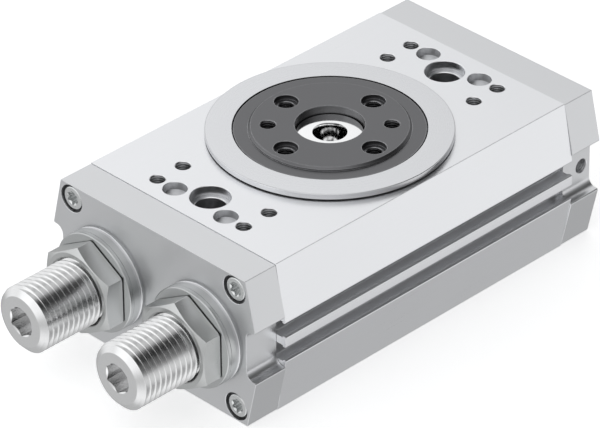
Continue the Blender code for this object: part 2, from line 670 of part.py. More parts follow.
def bearing_rings(bottom, top, pitch, ball, inner, outer, land):
    """Profiles of the inner and the outer ring; land is half the space between the rings."""
    middle = (bottom + top) / 2
    groove = ball + 0.3 * MM
    opening = math.degrees(math.acos(land / groove))
    inner_race = arc((pitch, middle), groove, 180 - opening, 180 + opening, 4)
    outer_race = arc((pitch, middle), groove, -opening, opening, 4)
    inner_profile = [(pitch - land, top), *inner_race, (pitch - land, bottom), (inner, bottom), (inner, top)]
    outer_profile = [(outer, top), (outer, bottom), (pitch + land, bottom), *outer_race, (pitch + land, top)]
    return inner_profile, outer_profile


def build_ball_cage(name, bottom, top, pitch, ball, count, half_wall):
    """The balls and the band that spaces them, joined where they touch."""
    middle = (bottom + top) / 2
    band = ring(name, pitch - half_wall, pitch + half_wall, -ball * 0.8, ball * 0.8, count)
    cage = add_part(name, band, "brass_cage", (0, 0, middle))
    bm = bmesh.new()
    for k in range(count):
        angle = (k + 0.5) * 2 * math.pi / count
        centre = Matrix.Translation((pitch * math.cos(angle), pitch * math.sin(angle), 0))
        bmesh.ops.create_uvsphere(bm, u_segments=6, v_segments=4, radius=ball, matrix=centre)
    balls = mesh_from(bm, f"{name} balls")
    combine(cage, add_cutter(f"{name} balls", balls, (0, 0, middle)), "UNION")


def build_bearings():
    upper = bearing_rings(UPPER_BEARING_BOTTOM, UPPER_BEARING_TOP, UPPER_BEARING_PITCH, UPPER_BALL_RADIUS,
                          *UPPER_BEARING_RADII, UPPER_BEARING_LAND)
    lower = bearing_rings(LOWER_BEARING_BOTTOM, LOWER_BEARING_TOP, LOWER_BEARING_PITCH, LOWER_BALL_RADIUS,
                          *LOWER_BEARING_RADII, LOWER_BEARING_LAND)
    for level, profiles, steps in (("upper", upper, 28), ("lower", lower, 20)):
        for position, profile in zip(("inner", "outer"), profiles):
            name = f"{level}_bearing_{position}_ring"
            add_part(name, turned(name, profile, steps, closed=True), "bearing_steel", smooth=True)
    build_ball_cage("upper_ball_cage", UPPER_BEARING_BOTTOM, UPPER_BEARING_TOP, UPPER_BEARING_PITCH,
                    UPPER_BALL_RADIUS, UPPER_BALLS, UPPER_CAGE_HALF_WALL)
    build_ball_cage("lower_ball_cage", LOWER_BEARING_BOTTOM, LOWER_BEARING_TOP, LOWER_BEARING_PITCH,
                    LOWER_BALL_RADIUS, LOWER_BALLS, LOWER_CAGE_HALF_WALL)


def build_cover_ring():
    foot = UPPER_BEARING_TOP + GAP
    profile = (
        (COVER_RADIUS - COVER_EDGE, COVER_TOP), (COVER_RADIUS, COVER_TOP - COVER_EDGE),
        (COVER_RADIUS, COVER_UNDERSIDE), (COVER_SPIGOT_RADIUS, COVER_UNDERSIDE), (COVER_SPIGOT_RADIUS, foot),
        (COVER_INNER_RADIUS, foot), (COVER_INNER_RADIUS, COVER_TOP),
    )
    ring_mesh = turned("bearing_cover_ring", profile, 40, closed=True)
    add_part("bearing_cover_ring", ring_mesh, "anodised_aluminium")


def circlip_outline(inner, outer, lug_outwards):
    """An open ring with a lug at each side of its gap."""
    half = CIRCLIP_GAP_DEGREES / 2
    lug = CIRCLIP_LUG
    lug_degrees = CIRCLIP_LUG_DEGREES
    tip = outer + lug if lug_outwards else outer
    root = inner if lug_outwards else inner - lug
    outside = arc((0, 0), tip, half, half + lug_degrees, 2)
    outside += arc((0, 0), outer, half + lug_degrees, 360 - half - lug_degrees, 16)
    outside += arc((0, 0), tip, 360 - half - lug_degrees, 360 - half, 2)
    inside = arc((0, 0), root, 360 - half, 360 - half - lug_degrees, 2)
    inside += arc((0, 0), inner, 360 - half - lug_degrees, half + lug_degrees, 16)
    inside += arc((0, 0), root, half + lug_degrees, half, 2)
    points = []
    for point in outside + inside:
        if not points or (Vector(point) - Vector(points[-1])).length > 0.01 * MM:
            points.append(point)
    return points


def build_circlips():
    for name, radii, lug_outwards in (
            ("shaft_circlip", SHAFT_CIRCLIP_RADII, True), ("bearing_circlip", BEARING_CIRCLIP_RADII, False)):
        clip = prism(name, [circlip_outline(*radii, lug_outwards)], CIRCLIP_THICKNESS)
        add_part(name, clip, "bearing_steel", (0, 0, CIRCLIP_HEIGHT))


# ---------------------------------------------------------------- pistons

def piston_profile():
    """Both heads of a piston, each with a guide band groove and a seal groove."""
    radius = PISTON_RADIUS
    end = PISTON_HALF_LENGTH
    seal_low, seal_high = SEAL_GROOVE
    band_low, band_high = BAND_GROOVE
    half = [(0, end), (radius - PISTON_EDGE, end), (radius, end - PISTON_EDGE), (radius, seal_high)]
    half += [(SEAL_GROOVE_RADIUS, seal_high), (SEAL_GROOVE_RADIUS, seal_low), (radius, seal_low)]
    half += [(radius, band_high), (BAND_GROOVE_RADIUS, band_high), (BAND_GROOVE_RADIUS, band_low)]
    half += [(radius, band_low)]
    return half + [(r, -z) for r, z in reversed(half)]


def rack_tooth_outlines(sign):
    """Rack teeth along local x, tips towards the pinion and feet sunk into the piston of the given side."""
    pitch = math.pi * TOOTH_MODULE
    slope = math.tan(PRESSURE_ANGLE)
    half = pitch / 4 - FLANK_CLEARANCE
    tip = PITCH_RADIUS - ADDENDUM
    foot = PITCH_RADIUS + DEDENDUM + RACK_FOOT_SINK
    foot_half = half + (foot - PITCH_RADIUS) * slope
    tip_half = half - ADDENDUM * slope
    outlines = []
    for tooth in range(RACK_TEETH):
        x = (tooth - (RACK_TEETH - 1) / 2) * pitch
        outlines.append([(x - foot_half, sign * foot), (x - tip_half, sign * tip),
                         (x + tip_half, sign * tip), (x + foot_half, sign * foot)])
    return outlines


def build_piston(side):
    sign = SIDES[side]
    centre = (0, sign * PISTON_Y, BORE_HEIGHT)
    name = f"{side}_rack_piston"
    piston = add_part(name, turned(name, piston_profile(), 20), "hard_anodised_piston", centre, AXIS_TO_REAR)
    root = PITCH_RADIUS + DEDENDUM
    reach = RACK_CUT_HALF_LENGTH
    height = PISTON_RADIUS + 1 * MM
    near, far = sorted((sign * 4 * MM, sign * root))
    cut = box(f"{side} rack cut", (-reach, near, BORE_HEIGHT - height), (reach, far, BORE_HEIGHT + height))
    combine(piston, add_cutter(f"{side} rack cut", cut))
    teeth = prism(f"{side} rack teeth", rack_tooth_outlines(sign), 2 * RACK_HALF_WIDTH)
    combine(piston, add_cutter(f"{side} rack teeth", teeth, (0, 0, BORE_HEIGHT)), "UNION")
    outer = sign * (PISTON_Y + PISTON_RADIUS)
    pocket = cylinders(f"{side} magnet pocket", MAGNET_RADIUS + GAP, -MAGNET_POCKET, 1 * MM, steps=12)
    sideways = (-sign * math.pi / 2, 0, 0)
    combine(piston, add_cutter(f"{side} magnet pocket", pocket, (0, outer, BORE_HEIGHT), sideways))
    magnet = cylinders(f"{side}_piston_magnet", MAGNET_RADIUS, *MAGNET_SPAN, steps=12)
    add_part(f"{side}_piston_magnet", magnet, "magnet_grey", (0, outer, BORE_HEIGHT), sideways)
    outside = BORE_RADIUS - RING_RUNNING_FIT
    for end, end_sign in ENDS.items():
        for kind, inside, half_width, groove, material in (
                ("piston_seal", SEAL_INNER_RADIUS, SEAL_HALF_WIDTH, SEAL_GROOVE, "black_rubber"),
                ("guide_band", BAND_INNER_RADIUS, BAND_HALF_WIDTH, BAND_GROOVE, "green_polyurethane")):
            ring_name = f"{side}_{kind}_{end}"
            mesh = ring(ring_name, inside, outside, -half_width, half_width, 20)
            place = (end_sign * sum(groove) / 2, centre[1], BORE_HEIGHT)
            add_part(ring_name, mesh, material, place, AXIS_TO_REAR, smooth=True)


# ---------------------------------------------------------------- end stops

def thread_mesh(name, radius, depth, pitch, length, steps=11):
    """A right-hand thread from z = -length to 0 with closed ends, to be trimmed by its envelope."""
    bm = bmesh.new()
    section = ((radius - depth, 0), (radius, 0.5 * pitch), (radius - depth, pitch))
    turns = math.ceil(length / pitch) + 2
    previous = None
    for step in range(turns * steps + 1):
        angle = 2 * math.pi * step / steps
        rise = -length - 1.4 * pitch + pitch * step / steps
        verts = [bm.verts.new((r * math.cos(angle), r * math.sin(angle), rise + z)) for r, z in section]
        if previous:
            for k in range(len(section) - 1):
                bm.faces.new((verts[k], verts[k + 1], previous[k + 1], previous[k]))
        previous = verts
    bmesh.ops.remove_doubles(bm, verts=bm.verts, dist=0.002 * MM)
    open_edges = [edge for edge in bm.edges if edge.is_boundary]
    bmesh.ops.holes_fill(bm, edges=open_edges, sides=0)
    bmesh.ops.triangulate(bm, faces=[face for face in bm.faces if len(face.verts) > 4])
    return mesh_from(bm, name)


def build_stop(side):
    """Screw, lock nut, two discs and buffer.  The screw's local z = 0 is its outer face, z points outwards."""
    axis_y = SIDES[side] * PISTON_Y
    front = STOP_FRONT_X
    at = (front, axis_y, BORE_HEIGHT)
    name = f"{side}_stop_screw"
    thread = thread_mesh(name, STOP_RADIUS, THREAD_DEPTH, STOP_PITCH, STOP_LENGTH)
    screw = add_part(name, thread, "turned_steel", at, AXIS_TO_FRONT)
    over = STOP_RADIUS + STOP_CREST_CLEARANCE
    chamfer = STOP_CHAMFER * (over - STOP_FACE_RADIUS) / (STOP_RADIUS - STOP_FACE_RADIUS)
    tail_radius = STOP_RADIUS - 1.2 * THREAD_DEPTH
    tail = over - tail_radius
    envelope = turned(f"{side} stop envelope", (
        (0, 0), (STOP_FACE_RADIUS, 0), (over, -chamfer), (over, -STOP_LENGTH + tail),
        (tail_radius, -STOP_LENGTH), (0, -STOP_LENGTH)), 20)
    combine(screw, add_cutter(f"{side} stop envelope", envelope, at, AXIS_TO_FRONT), "INTERSECT")
    socket = prism(f"{side} stop socket", [hexagon(STOP_SOCKET_ACROSS_FLATS)], 2 * STOP_SOCKET_DEPTH)
    combine(screw, add_cutter(f"{side} stop socket", socket, at, AXIS_TO_FRONT))
    hole_floor = BUFFER_STEM_LENGTH + GAP - STOP_LENGTH
    hole = f"{side} buffer hole"
    stem_hole = cylinders(hole, BUFFER_STEM_RADIUS + GAP, -STOP_LENGTH - 1 * MM, hole_floor, steps=12)
    combine(screw, add_cutter(hole, stem_hole, at, AXIS_TO_FRONT))

    buffer = turned(f"{side}_stop_buffer", (
        (0, BUFFER_STEM_LENGTH), (BUFFER_STEM_RADIUS, BUFFER_STEM_LENGTH), (BUFFER_STEM_RADIUS, 0),
        (BUFFER_RADIUS, 0), (BUFFER_RADIUS, BUFFER_EDGE - BUFFER_THICKNESS),
        (BUFFER_RADIUS - BUFFER_EDGE, -BUFFER_THICKNESS), (0, -BUFFER_THICKNESS)), 20)
    seat = front + STOP_LENGTH + GAP
    add_part(f"{side}_stop_buffer", buffer, "green_polyurethane", (seat, axis_y, BORE_HEIGHT), AXIS_TO_FRONT)

    build_lock_nut(side, axis_y)
    seal_back = NUT_BACK_X + NUT_TO_DISC + SEAL_DISC_THICKNESS
    support_back = seal_back + GAP + SUPPORT_DISC_THICKNESS
    for disc, back, thickness, radius in (
            (f"{side}_sealing_disc", seal_back, SEAL_DISC_THICKNESS, SEAL_DISC_RADIUS),
            (f"{side}_support_disc", support_back, SUPPORT_DISC_THICKNESS, SEAL_DISC_RADIUS)):
        mesh = turned(disc, ((radius - DISC_EDGE, thickness), (radius, thickness - DISC_EDGE), (radius, 0),
                             (STOP_BORE_RADIUS, 0), (STOP_BORE_RADIUS, thickness)), 28, closed=True)
        add_part(disc, mesh, "nut_steel", (back, axis_y, BORE_HEIGHT), AXIS_TO_FRONT)


def build_lock_nut(side, axis_y):
    name = f"{side}_lock_nut"
    blank = prism(name, [hexagon(NUT_ACROSS_FLATS), arc((0, 0), STOP_BORE_RADIUS, 0, 345, 23)], NUT_THICKNESS)
    middle = (NUT_BACK_X - NUT_THICKNESS / 2, axis_y, BORE_HEIGHT)
    nut = add_part(name, blank, "nut_steel", middle, AXIS_TO_FRONT)
    corner = NUT_ACROSS_FLATS * HEXAGON_CORNER / 2 + 0.5 * MM
    flat = NUT_ACROSS_FLATS / 2 - NUT_FACE_STEP
    slope = math.tan(math.radians(NUT_CHAMFER_DEGREES))
    half = NUT_THICKNESS / 2
    back = corner - NUT_BACK_EDGE
    envelope = turned(f"{side} nut envelope", (
        (0, half + 0.05 * MM), (flat, half + 0.05 * MM), (corner, half - (corner - flat) * slope),
        (corner, -half + 0.5 * MM), (back, -half - 0.05 * MM), (0, -half - 0.05 * MM)), 36)
    combine(nut, add_cutter(f"{side} nut envelope", envelope, middle, AXIS_TO_FRONT), "INTERSECT")


build_housing()
for end_name in ENDS:
    build_cap(end_name)
    build_cap_screws(end_name)
    build_cap_seals(end_name)
build_pinion_shaft()
build_flange()
build_bearings()
build_cover_ring()
build_circlips()
for side_name in SIDES:
    build_piston(side_name)
    build_stop(side_name)
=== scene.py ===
"""Looks of the rotary pneumatic actuator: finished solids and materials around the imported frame.

The frame's axes hold here too: +Z is parallel to the output axis, the stop screws point along -X, left is
+Y. Sizes that the frame knows are read from its boxes; the rest are named below, in millimetres times MM.
"""

import json
import math

import bmesh
import bpy
from mathutils import Matrix, Vector


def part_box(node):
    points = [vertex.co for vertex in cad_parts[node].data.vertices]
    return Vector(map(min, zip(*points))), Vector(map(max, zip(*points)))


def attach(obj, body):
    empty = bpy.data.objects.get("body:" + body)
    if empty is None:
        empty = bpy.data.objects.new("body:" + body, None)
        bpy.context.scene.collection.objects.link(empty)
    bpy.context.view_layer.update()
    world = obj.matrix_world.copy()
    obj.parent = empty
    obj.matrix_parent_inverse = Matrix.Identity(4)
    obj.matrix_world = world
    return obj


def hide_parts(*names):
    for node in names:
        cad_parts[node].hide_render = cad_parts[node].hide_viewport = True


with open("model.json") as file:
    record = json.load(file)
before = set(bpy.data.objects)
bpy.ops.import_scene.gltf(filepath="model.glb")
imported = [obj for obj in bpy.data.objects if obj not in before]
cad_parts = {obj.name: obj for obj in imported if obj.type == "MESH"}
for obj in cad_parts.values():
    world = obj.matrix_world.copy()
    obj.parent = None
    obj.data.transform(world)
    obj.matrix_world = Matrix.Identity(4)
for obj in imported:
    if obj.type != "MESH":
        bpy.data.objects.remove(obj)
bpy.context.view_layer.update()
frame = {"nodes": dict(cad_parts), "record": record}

MM = 0.001
FLANGE_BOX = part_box("drive_flange")
AXIS_FOOT = Vector(((FLANGE_BOX[0].x + FLANGE_BOX[1].x) / 2, 0, 0))


def box(node):
    """Lowest and highest corners of a CAD node, measured from the foot of the output axis."""
    low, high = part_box(node)
    return low - AXIS_FOOT, high - AXIS_FOOT


GAP = 0.3 * MM                              # clearance between neighbouring pieces
OVER = 0.5 * MM                             # how far a cutter stands out of the metal
FAR_OVER = 1 * MM                           # the same, where there is room

HOUSING_HIGH = box("housing")[1]
HALF_LENGTH = HOUSING_HIGH.x
HEIGHT = HOUSING_HIGH.z
MID = HEIGHT / 2
SIDE = HOUSING_HIGH.y                       # half width at mid height
FLANK_LEAN = 3.6 * MM
TOP_SIDE = SIDE - FLANK_LEAN                # half width at the top and bottom faces
CAP_LOW, CAP_HIGH = box("rear_end_cap")
CAP_OUTER = CAP_HIGH.x
CAP_THICKNESS = 11.1 * MM
CAP_INNER = CAP_OUTER - CAP_THICKNESS
CAP_HALF_HEIGHT = (CAP_HIGH.z - CAP_LOW.z) / 2
DISC_LOW, DISC_HIGH = box("left_sealing_disc")
BORE_Y = (DISC_LOW.y + DISC_HIGH.y) / 2     # the piston bores and the stops share these axes
BORE_Z = (DISC_LOW.z + DISC_HIGH.z) / 2
SEAM = 0.04 * MM                            # visible joint between the housing and a cap
CORNER_RADIUS = 0.16 * MM                   # long edges of the housing and the caps

RECESS_HALF_HEIGHT = 8.0 * MM
RECESS_DEPTH = 3.6 * MM
RECESS_FILLET = 2.5 * MM
SLOT_OPENING = 4.2 * MM
SLOT_RIB = 3.5 * MM
SLOT_DEPTH = 4.8 * MM
SLOT_NECK = 1.2 * MM                        # depth of the slot's narrow mouth
SLOT_UNDERCUT = 0.5 * MM
SLOT_ROUNDING = 0.4 * MM
FLANK_ROUNDING = 0.7 * MM
EDGE = 0.07 * MM                            # broken edge on machined parts
CAP_EDGE = 0.12 * MM

FIXING_X = 46.2 * MM
CENTRING_PLACE = (50.0 * MM, 10.0 * MM)
TAPPED_PLACES = ((50.0 * MM, 16.9 * MM), (40.4 * MM, 16.9 * MM))
CENTRING_RADIUS = 3.45 * MM
TAPPED_RADIUS = 2.15 * MM
TAPPED_PITCH = 0.8 * MM
TAPPED_DEPTH = 7 * MM
CENTRING_WALL = 2.4 * MM                    # depth at which the dished floor starts
CENTRING_DEPTH = 2.9 * MM
CENTRING_DISH = ((2.3 * MM, 2.68 * MM), (1.1 * MM, 2.85 * MM))    # (radius, depth) across the floor
FIXING_RADIUS = 4.5 * MM
COUNTERBORE_RADIUS = 5.75 * MM
COUNTERBORE_DEPTH = 3 * MM

SCREW_Y = 32.0 * MM
SCREW_Z = 19.0 * MM
SCREW_SINK = 0.4 * MM
SCREW_HEAD = 4.0 * MM
SCREW_HEAD_RADIUS = 3.5 * MM
SCREW_SEAT_RADIUS = 4.2 * MM
SCREW_SHANK = 2.0 * MM
SCREW_CLEARANCE_RADIUS = 2.3 * MM
SCREW_LENGTH = 16.5 * MM
SCREW_PLAIN_LENGTH = 6 * MM
SCREW_PITCH = 0.7 * MM
SCREW_THREAD_DEPTH = 0.4 * MM
SCREW_HOLE_RADIUS = 1.7 * MM
SCREW_HOLE_DEPTH = 10 * MM
LOBE_MEAN = 1.86 * MM
LOBE_WAVE = 0.34 * MM
LOBE_POINTS = 72

FLANGE_FACE = box("drive_flange")[1].z
FLANGE_RADIUS = box("drive_flange")[1].x
FLANGE_RIM = 49.45 * MM
FLANGE_STEP_RADIUS = 22.85 * MM
FLANGE_BORE = 9.8 * MM
FLANGE_HOLE_CIRCLE = 17.25 * MM
COVER_TOP = box("bearing_cover_ring")[1].z
COVER_RADIUS = box("bearing_cover_ring")[1].x
SHAFT_LOW, SHAFT_HIGH = box("pinion_shaft")
SHAFT_BORE = 3.5 * MM
BEARING_SEAT = 38.6 * MM
BEARING_TOP = 45.9 * MM
BEARING_SEAT_RADIUS = 29.3 * MM
BEARING_RELIEF_RADIUS = 25.6 * MM
BEARING_RELIEF_DEPTH = 0.5 * MM
COVER_SEAT_RADIUS = 31.0 * MM
CHAMBER_RADIUS = 9.8 * MM
CIRCLIP_LOW = 3.0 * MM                      # the circlip grooves lie between these heights
CIRCLIP_HIGH = 4.6 * MM
CIRCLIP_DEPTH = 0.9 * MM
PISTON_BORE_RADIUS = 12.5 * MM
PINION_LOW = 11.5 * MM
PINION_HIGH = 36 * MM
LOWER_BEARING_LOW, LOWER_BEARING_HIGH = box("lower_bearing_outer_ring")

STOP_RADIUS = 9.9 * MM
STOP_PITCH = 1.875 * MM
STOP_THREAD_DEPTH = 1.15 * MM
STOP_FACE_RADIUS = 7.6 * MM
STOP_CHAMFER = 1.25 * MM                    # length along the axis
STOP_SOCKET = 8.0 * MM
STOP_BORE = 10.15 * MM
STEM_HOLE_RADIUS = 3.3 * MM                 # for the buffer's stem, with its clearance
STEM_HOLE_DEPTH = 5.3 * MM
NUT_FLATS = 24.3 * MM
NUT_CHAMFER = math.radians(26)
NUT_BACK_SHIFT = 0.2 * MM                   # the nut all but touches the disc behind it
DISC_RADIUS = DISC_HIGH.y - BORE_Y
BOSS_RADIUS = 14.6 * MM
BOSS_HEIGHT = 1.0 * MM

SIDES = {"left": 1, "right": -1}
ENDS = {"front": -1, "rear": 1}
ALONG_X = Matrix.Rotation(math.pi / 2, 4, "Z") @ Matrix.Rotation(math.pi / 2, 4, "X")
TO_FRONT = Matrix.Rotation(-math.pi / 2, 4, "Y")
TO_REAR = Matrix.Rotation(math.pi / 2, 4, "Y")
TURNS = {"front": TO_FRONT, "rear": TO_REAR}
FULL_TURN = 2 * math.pi
ROUND_STEPS = 96
FINE_ROUND_STEPS = 128
RING_STEPS = 192
SMALL_ROUND_STEPS = 40
RIM_STEPS = 3
THREAD_STEPS = 56
SHARP_ANGLE = math.radians(32)


# ---------------------------------------------------------------- outlines

def arc(centre, radius, start, end, steps):
    """Points from start to end, in degrees, both included."""
    angles = [math.radians(start + (end - start) * k / steps) for k in range(steps + 1)]
    return [(centre[0] + radius * math.cos(a), centre[1] + radius * math.sin(a)) for a in angles]


def rounded(corners, steps=4):
    """An outline whose corners, given as (x, y) or (x, y, radius), are rounded by their radius."""
    outline = []
    for k, corner in enumerate(corners):
        here = Vector(corner[:2])
        radius = corner[2] if len(corner) > 2 else 0
        before = Vector(corners[k - 1][:2]) - here
        after = Vector(corners[(k + 1) % len(corners)][:2]) - here
        if radius == 0 or abs(before.normalized().dot(after.normalized())) > 0.9999:
            outline.append(tuple(here))
            continue
        half = before.angle(after) / 2
        radius = min(radius, 0.49 * min(before.length, after.length) * math.tan(half))
        centre = here + (before.normalized() + after.normalized()).normalized() * radius / math.sin(half)
        first = here + before.normalized() * radius / math.tan(half) - centre
        last = here + after.normalized() * radius / math.tan(half) - centre
        turn = first.angle_signed(last)
        for step in range(steps + 1):
            spoke = first.copy()
            spoke.rotate(Matrix.Rotation(-turn * step / steps, 2))
            outline.append(tuple(centre + spoke))
    return outline


def anticlockwise(outline):
    """The same outline, reversed if it runs clockwise."""
    area = sum(a[0] * b[1] - b[0] * a[1] for a, b in zip(outline, outline[1:] + outline[:1]))
    return outline if area > 0 else outline[::-1]


def inset(outline, distance):
    """An anticlockwise outline moved inwards by distance, with mitred corners."""
    points = [Vector(point) for point in outline]
    moved = []
    for k, here in enumerate(points):
        incoming = (here - points[k - 1]).normalized()
        outgoing = (points[(k + 1) % len(points)] - here).normalized()
        first = Vector((-incoming.y, incoming.x))
        second = Vector((-outgoing.y, outgoing.x))
        moved.append(tuple(here + (first + second) * distance / (1 + first.dot(second))))
    return moved


def mirrored(half):
    """Closed corners from the half with positive x, given from top to bottom."""
    return list(half) + [(-corner[0], *corner[1:]) for corner in reversed(half)]


def hexagon(across_flats, rounding):
    corner = across_flats / math.sqrt(3)
    angles = [k * math.pi / 3 for k in range(6)]
    return [(corner * math.cos(angle), corner * math.sin(angle), rounding) for angle in angles]


def four_ways(x, y):
    """A place and its mirror images about both axes."""
    return [(x * sx, y * sy) for sx in (-1, 1) for sy in (-1, 1)]


# ---------------------------------------------------------------- solids

def new_object(name, bm, matrix=Matrix.Identity(4)):
    bmesh.ops.remove_doubles(bm, verts=bm.verts, dist=0.001 * MM)
    bmesh.ops.recalc_face_normals(bm, faces=bm.faces)
    bm.transform(matrix)
    mesh = bpy.data.meshes.new(name)
    bm.to_mesh(mesh)
    bm.free()
    obj = bpy.data.objects.new(name, mesh)
    bpy.context.scene.collection.objects.link(obj)
    return obj


def loft(bm, sections):
    """Closed sections of equal point count, joined in order and capped at both ends."""
    rings = [[bm.verts.new(point) for point in section] for section in sections]
    for low, high in zip(rings, rings[1:]):
        for k in range(len(low)):
            j = (k + 1) % len(low)
            bm.faces.new((low[k], low[j], high[j], high[k]))
    bm.faces.new(rings[0][::-1])
    bm.faces.new(rings[-1])


def plate(name, outline, low, high, edge=0.0, matrix=Matrix.Identity(4)):
    """An outline given thickness from low to high along local Z, its two rims rounded by edge."""
    outline = anticlockwise(outline)
    levels = []
    for step in range(RIM_STEPS + 1 if edge else 1):
        angle = math.pi / 2 * step / RIM_STEPS
        levels.append((edge * (1 - math.cos(angle)), edge * (1 - math.sin(angle))))
    bm = bmesh.new()
    sections = []
    for rise, depth in levels:
        sections.append([(x, y, low + rise) for x, y in inset(outline, depth)])
    for rise, depth in reversed(levels):
        sections.append([(x, y, high - rise) for x, y in inset(outline, depth)])
    loft(bm, sections)
    return new_object(name, bm, matrix)


def add_turned(bm, corners, steps, centre):
    """Turns corners given as (radius, height, rounding); it is closed across the axis or onto itself."""
    profile = rounded(corners, RIM_STEPS)
    on_axis = corners[0][0] == 0 and corners[-1][0] == 0
    rings = []
    for radius, height in profile:
        if radius == 0:
            rings.append([bm.verts.new((centre[0], centre[1], height))] * steps)
            continue
        rings.append([bm.verts.new((centre[0] + radius * math.cos(FULL_TURN * k / steps),
                                    centre[1] + radius * math.sin(FULL_TURN * k / steps), height))
                      for k in range(steps)])
    pairs = list(zip(rings, rings[1:]))
    if not on_axis:
        pairs.append((rings[-1], rings[0]))
    for first, second in pairs:
        for k in range(steps):
            j = (k + 1) % steps
            face = list(dict.fromkeys((first[k], first[j], second[j], second[k])))
            if len(face) > 2:
                bm.faces.new(face)


def turned(name, corners, steps=ROUND_STEPS, matrix=Matrix.Identity(4), centres=((0, 0),)):
    """One object with the turned corners at each of the centres."""
    bm = bmesh.new()
    for centre in centres:
        add_turned(bm, corners, steps, centre)
    return new_object(name, bm, matrix)


def hole(radius, floor, mouth, break_edge):
    """Corners of a cutter for a blind hole whose mouth is broken by break_edge."""
    return [(0, mouth + OVER), (radius + break_edge + OVER, mouth + OVER), (radius, mouth - break_edge),
            (radius, floor), (0, floor)]


def tapped_hole(radius, pitch, floor, mouth):
    """Corners of a cutter for a tapped hole: V grooves down the wall and a short countersink."""
    depth = 0.13 * MM
    start = 0.2 * MM
    plain = 1 * MM                              # wall without grooves above the floor
    corners = [(0, mouth + OVER), (radius + start + OVER, mouth + OVER), (radius, mouth - start)]
    height = mouth - start
    while height - pitch > floor + plain:
        corners += [(radius, height - 0.15 * pitch), (radius + depth, height - 0.5 * pitch)]
        corners += [(radius, height - 0.85 * pitch)]
        height -= pitch
    return corners + [(radius, floor), (0, floor - radius * 0.6)]


def combined(target, tools, operation="DIFFERENCE"):
    """Applies the tools to the target, removes them and gives the target its new mesh."""
    for tool in tools:
        modifier = target.modifiers.new("combine", "BOOLEAN")
        modifier.operation = operation
        modifier.solver = "EXACT"
        modifier.object = tool
    bpy.context.view_layer.update()
    depsgraph = bpy.context.evaluated_depsgraph_get()
    mesh = bpy.data.meshes.new_from_object(target.evaluated_get(depsgraph))
    target.modifiers.clear()
    target.data = mesh
    for tool in tools:
        bpy.data.objects.remove(tool, do_unlink=True)
    return target


def placed_copy(master, name, matrix):
    """A copy of the master whose mesh is moved by the matrix."""
    mesh = master.data.copy()
    mesh.transform(matrix)
    obj = bpy.data.objects.new(name, mesh)
    bpy.context.scene.collection.objects.link(obj)
    return obj


def thread(name, radius, depth, pitch, length):
    """A right-hand helical thread below z = 0, over-long so that it can be trimmed flat."""
    bm = bmesh.new()
    root = radius - depth
    section = ((root, 0.0), (root, 0.1), (radius, 0.43), (radius, 0.57), (root, 0.9), (root, 1.0))
    turns = math.ceil(length / pitch) + 2
    run_out = 1.4 * pitch
    previous = None
    for step in range(turns * THREAD_STEPS + 1):
        angle = FULL_TURN * step / THREAD_STEPS
        rise = -length - run_out + pitch * step / THREAD_STEPS
        verts = [bm.verts.new((r * math.cos(angle), r * math.sin(angle), rise + z * pitch))
                 for r, z in section]
        if previous:
            for k in range(len(section) - 1):
                bm.faces.new((previous[k], previous[k + 1], verts[k + 1], verts[k]))
        previous = verts
    bmesh.ops.remove_doubles(bm, verts=bm.verts, dist=0.002 * MM)
    open_edges = [edge for edge in bm.edges if edge.is_boundary]
    bmesh.ops.holes_fill(bm, edges=open_edges, sides=0)
    bmesh.ops.triangulate(bm, faces=[face for face in bm.faces if len(face.verts) > 4])
    return new_object(name, bm)


def finish(obj, material, body, *nodes, slot):
    """Shades a finished solid, gives it its material and hands it to the frame in place of the CAD nodes."""
    mesh = obj.data
    mesh.materials.clear()
    mesh.materials.append(material)
    mesh.shade_smooth()
    mesh.set_sharp_from_angle(angle=SHARP_ANGLE)
    weighted = obj.modifiers.new("flat faces stay flat", "WEIGHTED_NORMAL")
    weighted.keep_sharp = True
    weighted.weight = 60
    obj.location = AXIS_FOOT
    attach(obj, body)
    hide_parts(*nodes)


# ---------------------------------------------------------------- materials

